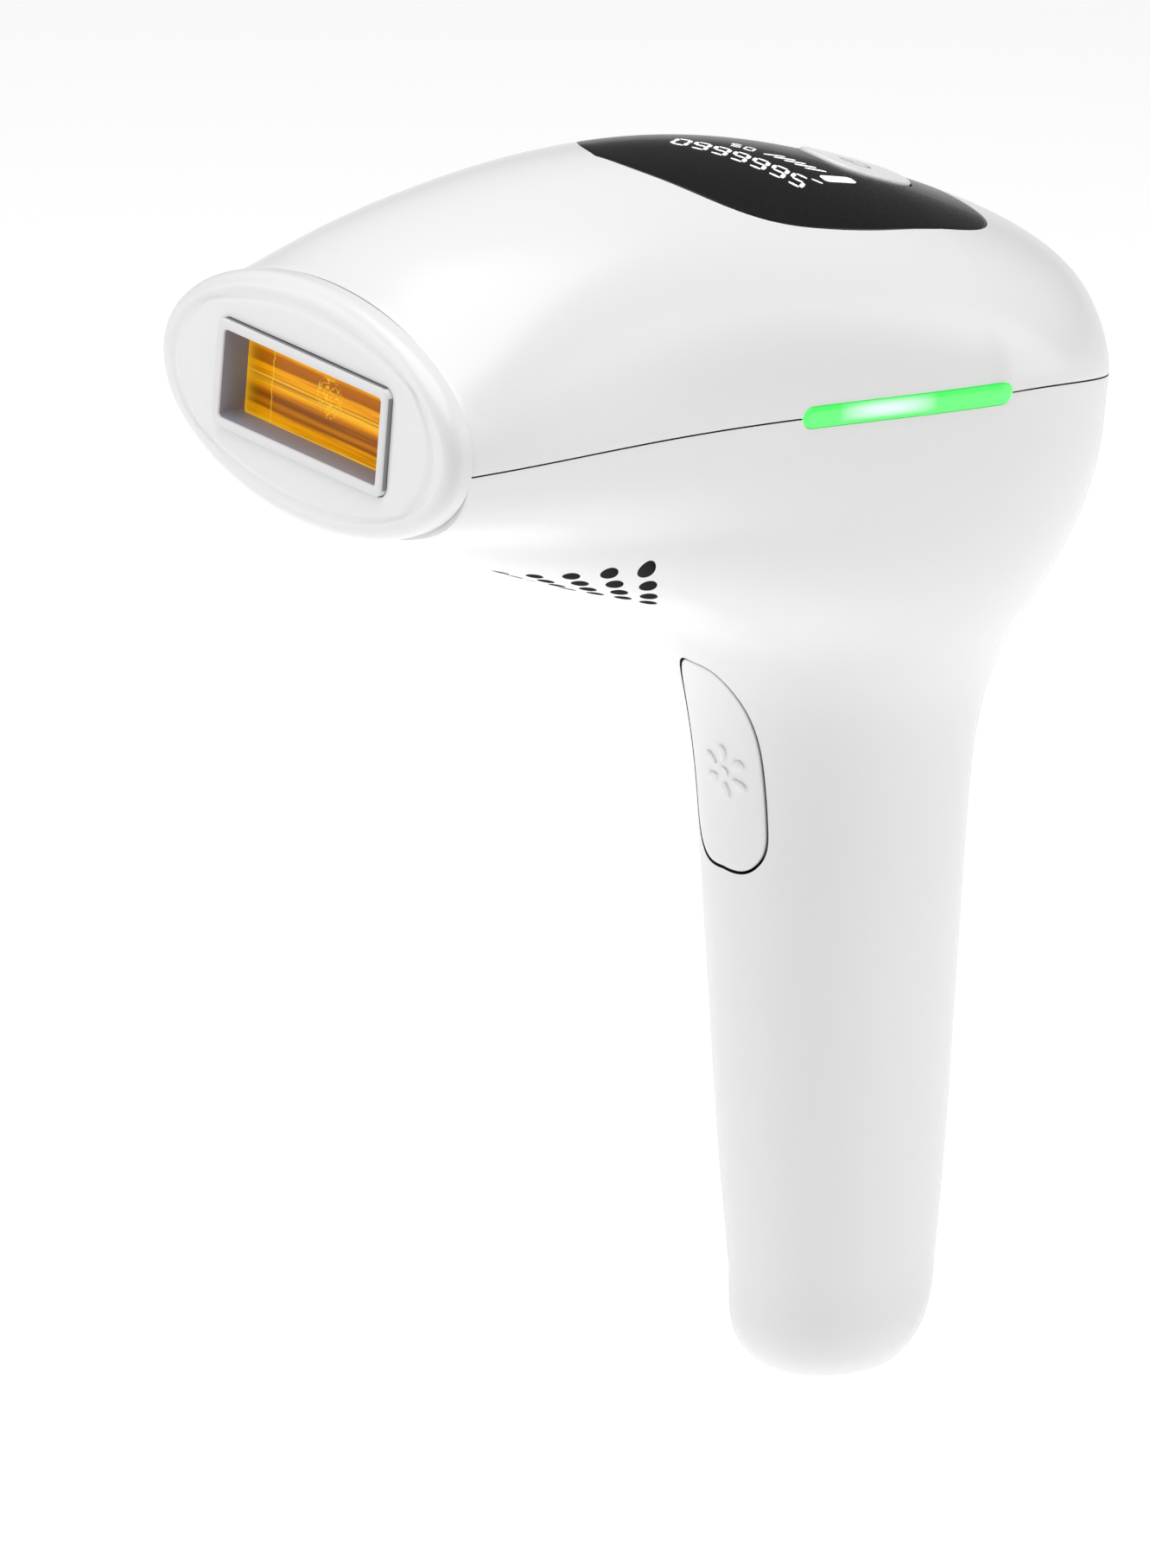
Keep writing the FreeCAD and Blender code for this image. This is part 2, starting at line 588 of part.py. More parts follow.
# ---------------------------------------------------------------- light bars through the seam
bars = {}
for label, side in (("left_light_bar", 1), ("right_light_bar", -1)):
    cover = cover.cut(bar_prism(side, size("fit_gap")))
    body = body.cut(bar_prism(side, size("fit_gap")))
    halves = [
        skin(outer, bar_prism(side, 0), (side, 0, 0), size("bar_depth"), size("bar_proud"), HEAD)
        for outer in (upper_outer, lower_outer)
    ]
    bars[label] = halves[0].fuse(halves[1]).removeSplitter()

feature("upper_cover", cover.Solids[0] if len(cover.Solids) == 1 else cover)
feature("lower_body", body.Solids[0] if len(body.Solids) == 1 else body)
feature("display_lens", lens)
feature("power_button", button)
feature("flash_trigger", trigger)
for label, bar in bars.items():
    feature(label, bar)


# ---------------------------------------------------------------- makers of plain pieces
def bind(item, **formulas):
    """Binds an object's properties to the sheet; place_x, place_y and place_z are its position."""
    for name, formula in formulas.items():
        target = "Placement.Base." + name[-1] if name.startswith("place_") else name
        item.setExpression(target, bound(formula))
    return item


def box(name, width, length, height, x="0", y="0", z="0"):
    """A box centred on x and y, standing on z."""
    return bind(
        doc.addObject("Part::Box", name), Length=width, Width=length, Height=height,
        place_x="%s - (%s) / 2" % (x, width), place_y="%s - (%s) / 2" % (y, length), place_z=z,
    )


def cylinder(name, radius, height, x="0", y="0", z="0", turn=FLAT):
    """A cylinder from a point, along its own turned axis."""
    item = doc.addObject("Part::Cylinder", name)
    item.Placement = FreeCAD.Placement(FreeCAD.Vector(), turn)
    return bind(item, Radius=radius, Height=height, place_x=x, place_y=y, place_z=z)


def fuse(name, items):
    """Joins several objects into one."""
    item = doc.addObject("Part::MultiFuse", name)
    item.Shapes = items
    item.Refine = True
    return item


def cut(name, base, tools):
    """Takes tools away from a base."""
    item = doc.addObject("Part::Cut", name)
    item.Base = base
    item.Tool = tools[0] if len(tools) == 1 else fuse(name + "Tools", tools)
    item.Refine = True
    return item


def group(name, items):
    """Several separate solids kept as one sub-part."""
    item = doc.addObject("Part::Compound", name)
    item.Links = items
    return item


def plane_of(body, role):
    """One of a body's own origin planes."""
    for item in body.Origin.OriginFeatures:
        if item.Role == role:
            return item


def sketch_in(body, name, role="XY_Plane"):
    """A sketch on one of a body's own origin planes."""
    sketch = body.newObject("Sketcher::SketchObject", name)
    sketch.AttachmentSupport = (plane_of(body, role), [""])
    sketch.MapMode = "FlatFace"
    return sketch


def bound_constraint(sketch, name, kind, places, formula):
    """A named dimension of a sketch, bound to the sheet."""
    index = sketch.addConstraint(Sketcher.Constraint(kind, *places, 1.0))
    sketch.renameConstraint(index, name)
    sketch.setExpression("Constraints." + name, bound(formula))


def draw_sides(sketch, spots):
    """Four joined sides, level and upright in turn, roughly where their first spots are."""
    corners = [FreeCAD.Vector(x, y, 0) for x, y in spots]
    sides = [
        sketch.addGeometry(Part.LineSegment(corners[i], corners[(i + 1) % 4]), False) for i in range(4)
    ]
    for i in range(4):
        sketch.addConstraint(Sketcher.Constraint("Coincident", sides[i], 2, sides[(i + 1) % 4], 1))
        sketch.addConstraint(Sketcher.Constraint("Horizontal" if i % 2 == 0 else "Vertical", sides[i]))
    return sides


def draw_rectangle(sketch, tag, width, length):
    """A rectangle centred on the sketch's origin."""
    sides = draw_sides(sketch, ((-1, -1), (1, -1), (1, 1), (-1, 1)))
    sketch.addConstraint(Sketcher.Constraint("Symmetric", sides[0], 1, sides[1], 2, -1, 1))
    bound_constraint(sketch, tag + "Width", "DistanceX", (sides[0], 1, sides[0], 2), width)
    bound_constraint(sketch, tag + "Length", "DistanceY", (sides[1], 1, sides[1], 2), length)


def draw_circle(sketch, tag, radius, x="0", y="0"):
    """A circle at a place of the sketch."""
    spot = sketch.addGeometry(Part.Circle(FreeCAD.Vector(1, 1, 0), FreeCAD.Vector(0, 0, 1), 1.0), False)
    bound_constraint(sketch, tag + "Radius", "Radius", (spot,), radius)
    for name, kind, formula in ((tag + "Across", "DistanceX", x), (tag + "Along", "DistanceY", y)):
        bound_constraint(sketch, name, kind, (-1, 1, spot, 3), formula)


def pad(body, sketch, length):
    """Raises a sketch along its normal."""
    item = body.newObject("PartDesign::Pad", sketch.Name + "Pad")
    item.Profile = sketch
    return bind(item, Length=length)


def plate(name, width, length, thickness, holes=()):
    """A plate centred on its own origin, with round holes through it."""
    body = doc.addObject("PartDesign::Body", name)
    sketch = sketch_in(body, name + "Outline")
    draw_rectangle(sketch, "Edge", width, length)
    for i, (radius, x, y) in enumerate(holes):
        draw_circle(sketch, "Hole%s" % "ABCDEFGH"[i], radius, x, y)
    pad(body, sketch, thickness)
    return body


def nose(z, turn=FLAT):
    """A placement on the nose axis, measured outwards from the joint."""
    return at(0, 0, z, NOSE_FRAME, turn)


# ---------------------------------------------------------------- pull-off treatment head
outline = bind(
    doc.addObject("Part::Ellipse", "NozzleOutline"),
    MajorRadius="nozzle_half_width", MinorRadius="nozzle_half_height", place_z="joint_gap",
)
block = doc.addObject("Part::Extrusion", "NozzleBlock")
block.Base = outline
block.DirMode = "Custom"
block.Dir = FreeCAD.Vector(0, 0, 1)
block.Solid = True
bind(block, LengthFwd="nozzle_depth - joint_gap")
doc.recompute()
front_edges = [
    (i, size("nozzle_round"), size("nozzle_round"))
    for i, edge in enumerate(block.Shape.Edges, start=1)
    if edge.BoundBox.ZMin > size("nozzle_depth") / 2
]
rounded = doc.addObject("Part::Fillet", "NozzleRounded")
rounded.Base = block
rounded.Edges = front_edges
window = box("NozzleWindow", "frame_width + 2 * fit_gap", "frame_height + 2 * fit_gap", "2 * nozzle_depth",
             z="-nozzle_depth / 2")
pegs = [
    cylinder("NozzlePeg%s" % name, "peg_radius", "peg_depth + nozzle_depth / 2", x=x, z="-peg_depth")
    for name, x in (("Left", "-peg_across"), ("Right", "peg_across"))
]
node(fuse("NozzleCap", [cut("NozzleOpen", rounded, [window])] + pegs), "nozzle_cap", nose(0))

frame = doc.addObject("PartDesign::Body", "WindowFrame")
ring = sketch_in(frame, "WindowFrameRing")
draw_rectangle(ring, "Outer", "frame_width", "frame_height")
draw_rectangle(ring, "Inner", "frame_width - 2 * frame_rim", "frame_height - 2 * frame_rim")
pad(frame, ring, "nozzle_depth + frame_proud - joint_gap")
node(frame, "window_frame", nose(size("joint_gap")))

# ---------------------------------------------------------------- bezel, filter glass and lamp
bezel_outline = bind(
    doc.addObject("Part::Ellipse", "BezelOutline"),
    MajorRadius="nozzle_half_width - bezel_margin", MinorRadius="nozzle_half_height - bezel_margin",
    place_z="-bezel_depth",
)
bezel_block = doc.addObject("Part::Extrusion", "BezelBlock")
bezel_block.Base = bezel_outline
bezel_block.DirMode = "Custom"
bezel_block.Dir = FreeCAD.Vector(0, 0, 1)
bezel_block.Solid = True
bind(bezel_block, LengthFwd="bezel_depth")
bezel_tools = [
    box("BezelPocket", "glass_width + 2 * fit_gap", "glass_height + 2 * fit_gap", "bezel_depth",
        z="-glass_depth - seat_gap"),
    box("BezelWindow", "frame_width - 2 * frame_rim", "frame_height - 2 * frame_rim", "2 * bezel_depth",
        z="-1.5 * bezel_depth"),
]
screw_formulas = [(x + "screw_across", y + "screw_up") for y in ("", "-") for x in ("-", "")]
for i, (x, y) in enumerate(screw_formulas):
    bezel_tools.append(cylinder("BezelHole%d" % i, "screw_radius + fit_gap", "2 * bezel_depth", x, y,
                                "-1.5 * bezel_depth"))
    bezel_tools.append(cylinder("BezelSink%d" % i, "screw_head_radius + fit_gap", "bezel_depth", x, y,
                                "-screw_head_depth - fit_gap"))
for name, x in (("Left", "-peg_across"), ("Right", "peg_across")):
    bezel_tools.append(cylinder("BezelSocket" + name, "peg_radius + fit_gap", "bezel_depth", x, "0",
                                "-peg_depth - fit_gap"))
node(cut("FrontBezel", bezel_block, bezel_tools), "front_bezel", nose(0))

node(plate("FilterGlass", "glass_width", "glass_height", "glass_depth"), "filter_glass",
     nose(-size("glass_depth")))

lamp_axis = "-lamp_depth"
reflector_start = "bezel_depth + seat_gap"
opening = "frame_width - 2 * frame_rim"
reflector = cut(
    "Reflector",
    box("ReflectorBlock", opening + " + 2 * reflector_wall", "2 * trough_radius + 2 * reflector_wall",
        "reflector_depth", z="-%s - reflector_depth" % reflector_start.replace(" + ", " - ")),
    [
        box("ReflectorMouth", opening, "2 * trough_radius", "trough_depth", z="-trough_depth"),
        cylinder("ReflectorTrough", "trough_radius", opening, "-(%s) / 2" % opening, "0",
                 "-trough_depth", FACING_SIDE),
        cylinder("ReflectorPass", "lamp_radius + fit_gap", "2 * frame_width", "-frame_width", "0", lamp_axis,
                 FACING_SIDE),
    ],
)
node(reflector, "reflector", nose(0))

tube = cut(
    "FlashTube",
    cylinder("TubeOutside", "lamp_radius", "lamp_length", "-lamp_length / 2", "0", lamp_axis, FACING_SIDE),
    [cylinder("TubeInside", "lamp_radius - lamp_wall", "lamp_length - 2 * cap_length",
              "cap_length - lamp_length / 2", "0", lamp_axis, FACING_SIDE)],
)
node(tube, "flash_tube", nose(0))

ends = []
for name, start, lead in (
    ("Left", "-lamp_length / 2 - cap_length", "-lamp_length / 2 - cap_length - lead_length"),
    ("Right", "lamp_length / 2", "lamp_length / 2 + cap_length"),
):
    cap = cylinder("Cap" + name, "cap_radius", "cap_length", start, "0", lamp_axis, FACING_SIDE)
    pin = cylinder("Lead" + name, "lead_radius", "lead_length", lead, "0", lamp_axis, FACING_SIDE)
    ends.append(fuse("Electrode" + name, [cap, pin]))
node(group("LampElectrodes", ends), "lamp_electrodes", nose(0))

turns = []
for i in range(int(size("wire_coils"))):
    loop = doc.addObject("Part::Torus", "WireLoop%d" % i)
    loop.Placement = FreeCAD.Placement(FreeCAD.Vector(), FACING_SIDE)
    bind(loop, Radius1="lamp_radius + wire_radius + stop_gap", Radius2="wire_radius",
         place_x="wire_step * (%d - (wire_coils - 1) / 2)" % i, place_z=lamp_axis)
    turns.append(loop)
turns.append(cylinder(
    "WireRun", "wire_radius", "wire_step * (wire_coils - 1) + 4 * wire_radius",
    "-wire_step * (wire_coils - 1) / 2 - 2 * wire_radius", "lamp_radius + stop_gap + 2.2 * wire_radius",
    lamp_axis, FACING_SIDE,
))
node(fuse("TriggerWire", turns), "trigger_wire", nose(0))

holder = cut(
    "LampHolder",
    box("HolderBlock", "holder_width", "holder_height", "holder_end - holder_start", z="-holder_end"),
    [
        box("HolderPocket", opening + " + 2 * reflector_wall + 2 * fit_gap",
            "2 * trough_radius + 2 * reflector_wall + 2 * fit_gap", "holder_end",
            z="-bezel_depth - reflector_depth - fit_gap - seat_gap"),
        box("HolderSlot", "2 * holder_width", "2 * lamp_radius + 2 * fit_gap", "holder_end", z=lamp_axis),
        cylinder("HolderSeat", "lamp_radius + fit_gap", "2 * holder_width", "-holder_width", "0", lamp_axis,
                 FACING_SIDE),
    ],
)
node(holder, "lamp_holder", nose(0))


def screw(name, radius, head_radius, head_depth, length, placement):
    """A pan-head screw with its head at the top of its own Z."""
    return placed(fuse(name, [
        cylinder(name + "Shank", radius, length, z="-(%s)" % length),
        cylinder(name + "Head", head_radius, head_depth),
    ]), placement)


def placed(item, placement):
    """Sets an object's placement and gives it back."""
    item.Placement = placement
    return item


node(group("FrontScrews", [
    screw("FrontScrew%d" % i, "screw_radius", "screw_head_radius", "screw_head_depth - fit_gap",
          "screw_length", at(x, y, -size("screw_head_depth"), NOSE_FRAME))
    for i, (x, y) in enumerate(screw_spots())
]), "front_screws")

# ---------------------------------------------------------------- heat sink and fan
sink = doc.addObject("PartDesign::Body", "HeatSink")
sink_outline = sketch_in(sink, "SinkOutline")
draw_rectangle(sink_outline, "Edge", "sink_width", "sink_height")
pad(sink, sink_outline, "sink_depth")
slot_sketch = sketch_in(sink, "SinkSlot")
slot_lines = draw_sides(slot_sketch, ((1, -1), (2, -1), (2, 1), (1, 1)))
bound_constraint(slot_sketch, "SlotWidth", "DistanceX", (slot_lines[0], 1, slot_lines[0], 2), "fin_gap")
bound_constraint(slot_sketch, "SlotLength", "DistanceY", (slot_lines[1], 1, slot_lines[1], 2),
                 "sink_height + 2 * fin_gap")
bound_constraint(slot_sketch, "SlotStart", "DistanceX", (-1, 1, slot_lines[0], 1),
                 "-fin_pitch * (fin_count - 1) / 2 - fin_gap / 2")
bound_constraint(slot_sketch, "SlotLow", "DistanceY", (-1, 1, slot_lines[0], 1), "-sink_height / 2 - fin_gap")
slot = sink.newObject("PartDesign::Pocket", "SinkPocket")
slot.Profile = slot_sketch
slot.Reversed = True
bind(slot, Length="sink_depth - sink_base")
row = sink.newObject("PartDesign::LinearPattern", "SinkSlots")
row.Originals = [slot]
row.Direction = (slot_sketch, ["H_Axis"])
bind(row, Length="fin_pitch * (fin_count - 1)", Occurrences="fin_count")
sink.Tip = row
sink_front = size("holder_end") + size("sink_gap")
node(sink, "heat_sink", nose(-sink_front - size("sink_depth")))

fan_front = sink_front + size("sink_depth") + size("fan_gap")
fan_tools = [
    cylinder("FanBore", "fan_bore", "fan_depth", z="fan_plate"),
    cut("FanSlots", cylinder("FanRing", "fan_bore - fan_rim", "fan_depth", z="-fan_depth / 2"), [
        cylinder("FanMotor", "fan_hub", "2 * fan_depth", z="-fan_depth"),
        box("FanSpokeA", "2 * fan_side", "fan_spoke", "2 * fan_depth", z="-fan_depth"),
        box("FanSpokeB", "fan_spoke", "2 * fan_side", "2 * fan_depth", z="-fan_depth"),
    ]),
]
for i, (x, y) in enumerate(((-1, -1), (1, -1), (1, 1), (-1, 1))):
    fan_tools.append(cylinder(
        "FanHole%d" % i, "fan_hole", "2 * fan_depth", "%d * (fan_side / 2 - fan_hole_inset)" % x,
        "%d * (fan_side / 2 - fan_hole_inset)" % y, "-fan_depth / 2",
    ))
fan = cut("FanFrame", box("FanBlock", "fan_side", "fan_side", "fan_depth"), fan_tools)
axle = cylinder("FanAxle", "axle_radius", "fan_depth - fan_end_gap")
node(fuse("FanFrameWhole", [fan, axle]), "fan_frame", nose(-fan_front - size("fan_depth")))

rotor_start = size("fan_plate") + size("fan_end_gap")
rotor_depth = size("fan_rotor_depth")
swept = Part.makeCylinder(size("fan_tip"), rotor_depth, FreeCAD.Vector(0, 0, rotor_start))
blades = []
for i in range(int(size("fan_blades"))):
    root = size("fan_hub") / 2
    blade = Part.makeBox(size("fan_tip") - root, size("fan_blade"), 2 * rotor_depth)
    blade.translate(FreeCAD.Vector(root, -size("fan_blade") / 2, -rotor_depth))
    blade.rotate(FreeCAD.Vector(), FreeCAD.Vector(1, 0, 0), size("fan_twist"))
    blade.translate(FreeCAD.Vector(0, 0, rotor_start + rotor_depth / 2))
    blade.rotate(FreeCAD.Vector(), FreeCAD.Vector(0, 0, 1), 360 * i / size("fan_blades"))
    blades.append(blade.common(swept))
hub = Part.makeCylinder(size("fan_hub"), rotor_depth, FreeCAD.Vector(0, 0, rotor_start))
shaft = Part.makeCylinder(size("axle_radius") + size("axle_gap"), 2 * size("fan_depth"))
rotor_item = feature("fan_rotor", hub.fuse(blades).cut(shaft))
rotor_item.Placement = nose(-fan_front - size("fan_depth"))

# ---------------------------------------------------------------- boards in the head
def mounting(width, length):
    """Four corner holes of a board, as formulas from its own centre."""
    across = "(%s) / 2 - post_inset" % width
    along = "(%s) / 2 - post_inset" % length
    return [("small_screw + fit_gap", x + "(" + across + ")", y + "(" + along + ")")
            for x in ("-", "") for y in ("-", "")]


main_middle = size("board_length") / 2 - size("board_front")
power_middle = size("power_length") / 2 - size("power_front")
node(plate("MainBoard", "board_width", "board_length", "board_thickness",
           mounting("board_width", "board_length")),
     "main_board", at(0, main_middle, size("board_rise"), HEAD))
node(plate("PowerBoard", "power_width", "power_length", "board_thickness",
           mounting("power_width", "power_length")),
     "power_board", at(0, power_middle, -size("power_drop"), HEAD))
node(plate("DisplayModule", "module_width", "module_length", "module_height"), "display_module",
     at(0, size("module_length") / 2 - size("module_front"), main_top + size("seat_gap"), HEAD))


def push_switch(name):
    """A small push switch standing on its own origin."""
    return fuse(name, [
        box(name + "Body", "switch_side", "switch_side", "switch_body"),
        cylinder(name + "Plunger", "plunger_radius", "plunger_height + switch_body"),
    ])


node(push_switch("PowerSwitch"), "power_switch", at(0, size("button_back"), main_top, HEAD))
node(cut("Buzzer", cylinder("BuzzerCan", "buzzer_radius", "buzzer_height"),
         [cylinder("BuzzerPort", "buzzer_port", "buzzer_height", z="buzzer_height / 2")]),
     "buzzer", at(size("buzzer_across"), size("buzzer_back"), main_top, HEAD))

core_tool = cut("CoreWindow", box("CoreSpace", "2 * winding_radius + 2 * fit_gap", "2 * core_side",
                                  "core_height - 2 * core_plate", z="core_plate"),
                [cylinder("CoreLeg", "core_leg", "core_height")])
core_top = -size("power_drop") - size("seat_gap")
core_place = at(0, size("core_back"), core_top - size("core_height"), HEAD)
node(cut("TransformerCore", box("CoreBlock", "core_side", "core_side", "core_height"), [core_tool]),
     "transformer_core", core_place)
node(cut("TransformerWinding",
         cylinder("WindingOutside", "winding_radius", "core_height - 2 * core_plate - 2 * fit_gap",
                  z="core_plate + fit_gap"),
         [cylinder("WindingInside", "core_leg + fit_gap", "core_height")]),
     "transformer_winding", core_place)

board_screws = []
for i, (x, y) in enumerate(MAIN_SPOTS):
    place = at(x, y, size("board_rise"), HEAD, FreeCAD.Rotation(FreeCAD.Vector(1, 0, 0), 180))
    board_screws.append(screw("MainScrew%d" % i, "small_screw", "small_head", "small_head_depth",
                              "small_length", place))
for i, (x, y) in enumerate(POWER_SPOTS):
    place = at(x, y, size("board_thickness") - size("power_drop"), HEAD)
    board_screws.append(screw("PowerScrew%d" % i, "small_screw", "small_head", "small_head_depth",
                              "small_length", place))
node(group("BoardScrews", board_screws), "board_screws")

# ---------------------------------------------------------------- lamps behind the light bars
for label, side in (("left", 1), ("right", -1)):
    name = label.capitalize() + "Led"
    strip = box(name + "Strip", "led_board_depth", "bar_length", "bar_height + 2 * led_board_margin")
    chips = [
        box("%sChip%d" % (name, i), "led_depth + led_board_depth / 2", "led_side", "led_side",
            x="%d * (led_depth / 2 + led_board_depth / 4)" % side,
            y="bar_length * (%d + 0.5) / led_count - bar_length / 2" % i,
            z="bar_height / 2 + led_board_margin - led_side / 2")
        for i in range(int(size("led_count")))
    ]
    node(fuse(name + "Board", [strip] + chips), label + "_led_board",
         at(side * size("led_board_across"), size("bar_length") / 2 - size("bar_front"),
            -size("bar_height") / 2 - size("led_board_margin"), HEAD))

# ---------------------------------------------------------------- trigger electronics
trigger_board_front = -size("trigger_board_back") - size("board_thickness")
node(plate("TriggerBoard", "trigger_board_width", "trigger_board_height", "board_thickness"), "trigger_board",
     at(0, -size("trigger_board_back"), size("trigger_line"), UPRIGHT, FACING_FRONT))
node(push_switch("TriggerSwitch"), "trigger_switch",
     at(0, trigger_board_front, size("trigger_line"), UPRIGHT, FACING_FRONT))

# ---------------------------------------------------------------- handle contents
capacitor = doc.addObject("PartDesign::Body", "FlashCapacitor")
profile = sketch_in(capacitor, "CapacitorProfile", "XZ_Plane")
lines = draw_sides(profile, ((0, 0), (1, 0), (1, 1), (0, 1)))
profile.addConstraint(Sketcher.Constraint("Coincident", lines[0], 1, -1, 1))
bound_constraint(profile, "CanRadius", "DistanceX", (lines[0], 1, lines[0], 2), "capacitor_radius")
bound_constraint(profile, "CanHeight", "DistanceY", (lines[1], 1, lines[1], 2), "capacitor_height")
can = capacitor.newObject("PartDesign::Revolution", "CapacitorCan")
can.Profile = profile
can.ReferenceAxis = (profile, ["V_Axis"])
can.Angle = 360
doc.recompute()
rims = [
    "Edge%d" % i for i, edge in enumerate(can.Shape.Edges, start=1)
    if abs(edge.BoundBox.ZLength) < 0.01 and edge.Length > size("capacitor_radius")
]
bevel = capacitor.newObject("PartDesign::Chamfer", "CapacitorBevel")
bevel.Base = (can, rims)
bind(bevel, Size="capacitor_bevel")
node(capacitor, "flash_capacitor", at(0, 0, size("capacitor_bottom")))

socket_block = box("SocketBlock", "socket_width", "socket_tall", "socket_depth")
socket_cut = cut("SocketOpen", socket_block,
                 [cylinder("SocketBore", "socket_bore", "socket_depth",
                           z="socket_depth - socket_bore_depth")])
socket_pin = cylinder("SocketPin", "socket_pin", "socket_pin_length",
                      z="socket_depth - socket_bore_depth - socket_root")
node(fuse("PowerSocket", [socket_cut, socket_pin]), "power_socket",
     at(0, size("socket_face") - size("socket_depth"), size("socket_height"),
        UPRIGHT, FACING_BACK))

# ---------------------------------------------------------------- check and write
doc.recompute()
for item in doc.Objects:
    if "Invalid" in item.State or "Error" in item.State:
        raise RuntimeError("%s failed: %s" % (item.Name, item.State))
for item in nodes:
    shape = item.Shape
    if shape.isNull() or not shape.isValid() or not shape.Solids:
        raise RuntimeError("%s has no valid solid" % item.Label)
for item in nodes:
    item.Shape.exportStep("parts/%s.step" % item.Label)
    print("%-20s %9.1f mm3, %d solids" % (item.Label, item.Shape.Volume, len(item.Shape.Solids)))
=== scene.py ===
import logging
import math
from collections.abc import Callable, Sequence
from dataclasses import dataclass
from enum import Enum

import bmesh
import bpy
from mathutils import Euler, Matrix, Vector


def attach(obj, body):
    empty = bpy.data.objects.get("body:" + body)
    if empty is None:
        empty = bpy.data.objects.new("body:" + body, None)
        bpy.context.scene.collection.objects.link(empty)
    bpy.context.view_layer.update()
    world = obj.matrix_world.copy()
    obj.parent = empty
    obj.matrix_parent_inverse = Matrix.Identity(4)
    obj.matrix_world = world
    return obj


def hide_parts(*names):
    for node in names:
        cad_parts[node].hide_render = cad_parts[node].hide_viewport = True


# Handheld pulsed-light hair remover. Lengths in the classes are millimetres; meshes are made in metres.
# Head frame: origin on the seam over the foot, x across, u back along the head, w square to the seam.

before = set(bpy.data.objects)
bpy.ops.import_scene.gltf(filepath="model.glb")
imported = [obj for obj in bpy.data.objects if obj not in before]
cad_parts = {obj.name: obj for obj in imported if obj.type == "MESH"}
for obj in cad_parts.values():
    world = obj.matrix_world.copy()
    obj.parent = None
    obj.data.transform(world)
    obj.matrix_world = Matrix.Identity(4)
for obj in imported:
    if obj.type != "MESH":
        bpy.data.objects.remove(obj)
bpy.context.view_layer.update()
MM = 0.001
log = logging.getLogger("hair_remover")

Point = tuple[float, float]
Surface = Callable[[float, float], Vector]


# ---------------------------------------------------------------- curves and frames
class SmoothCurve:
    """A curve through a few given points, smooth to the second derivative."""

    def __init__(self, points: Sequence[Point]) -> None:
        """Solves the spline once.

        Args:
            points: Places and values, in rising order of place.
        """
        self.xs = [point[0] for point in points]
        self.ys = [point[1] for point in points]
        last = len(points) - 1
        steps = [self.xs[i + 1] - self.xs[i] for i in range(last)]
        ratio, carried = [0.0] * (last + 1), [0.0] * (last + 1)
        for i in range(1, last):
            ahead = (self.ys[i + 1] - self.ys[i]) / steps[i]
            behind = (self.ys[i] - self.ys[i - 1]) / steps[i - 1]
            bend = 6 * (ahead - behind)
            pivot = 2 * (steps[i - 1] + steps[i]) - steps[i - 1] * ratio[i - 1]
            ratio[i] = steps[i] / pivot
            carried[i] = (bend - steps[i - 1] * carried[i - 1]) / pivot
        self.bends = [0.0] * (last + 1)
        for i in range(last - 1, 0, -1):
            self.bends[i] = carried[i] - ratio[i] * self.bends[i + 1]

    def __call__(self, place: float) -> float:
        """The curve's value at a place, held to its two ends."""
        place = min(max(place, self.xs[0]), self.xs[-1])
        i = 0
        while i < len(self.xs) - 2 and place > self.xs[i + 1]:
            i += 1
        step = self.xs[i + 1] - self.xs[i]
        after = (place - self.xs[i]) / step
        before = 1 - after
        pull = (before ** 3 - before) * self.bends[i] + (after ** 3 - after) * self.bends[i + 1]
        bend = pull * step * step / 6
        return before * self.ys[i] + after * self.ys[i + 1] + bend


def steady_curve(points: Sequence[Point]) -> Callable[[float], float]:
    """A cubic through points that never overshoots between them.

    Args:
        points: Places and values, in rising order of place.

    Returns:
        The curve as a function of place.
    """
    xs = [point[0] for point in points]
    ys = [point[1] for point in points]
    last = len(xs) - 1
    steps = [xs[i + 1] - xs[i] for i in range(last)]
    slopes = [(ys[i + 1] - ys[i]) / steps[i] for i in range(last)]
    tangents = [slopes[0]]
    for i in range(1, last):
        if slopes[i - 1] * slopes[i] <= 0:
            tangents.append(0.0)
            continue
        before = 2 * steps[i] + steps[i - 1]
        after = steps[i] + 2 * steps[i - 1]
        tangents.append((before + after) / (before / slopes[i - 1] + after / slopes[i]))
    tangents.append(slopes[-1])

    def value(x: float) -> float:
        """The curve at one place."""
        x = min(max(x, xs[0]), xs[-1])
        i = 0
        while i < last - 1 and x > xs[i + 1]:
            i += 1
        t = (x - xs[i]) / steps[i]
        start = (1 + 2 * t) * (1 - t) ** 2 * ys[i] + t * (1 - t) ** 2 * steps[i] * tangents[i]
        end = t ** 2 * (3 - 2 * t) * ys[i + 1] + t ** 2 * (t - 1) * steps[i] * tangents[i + 1]
        return start + end

    return value


def share_between(value: float, low: float, high: float) -> float:
    """Where a value stands from low to high, held to 0 and 1."""
    return min(1.0, max(0.0, (value - low) / (high - low)))


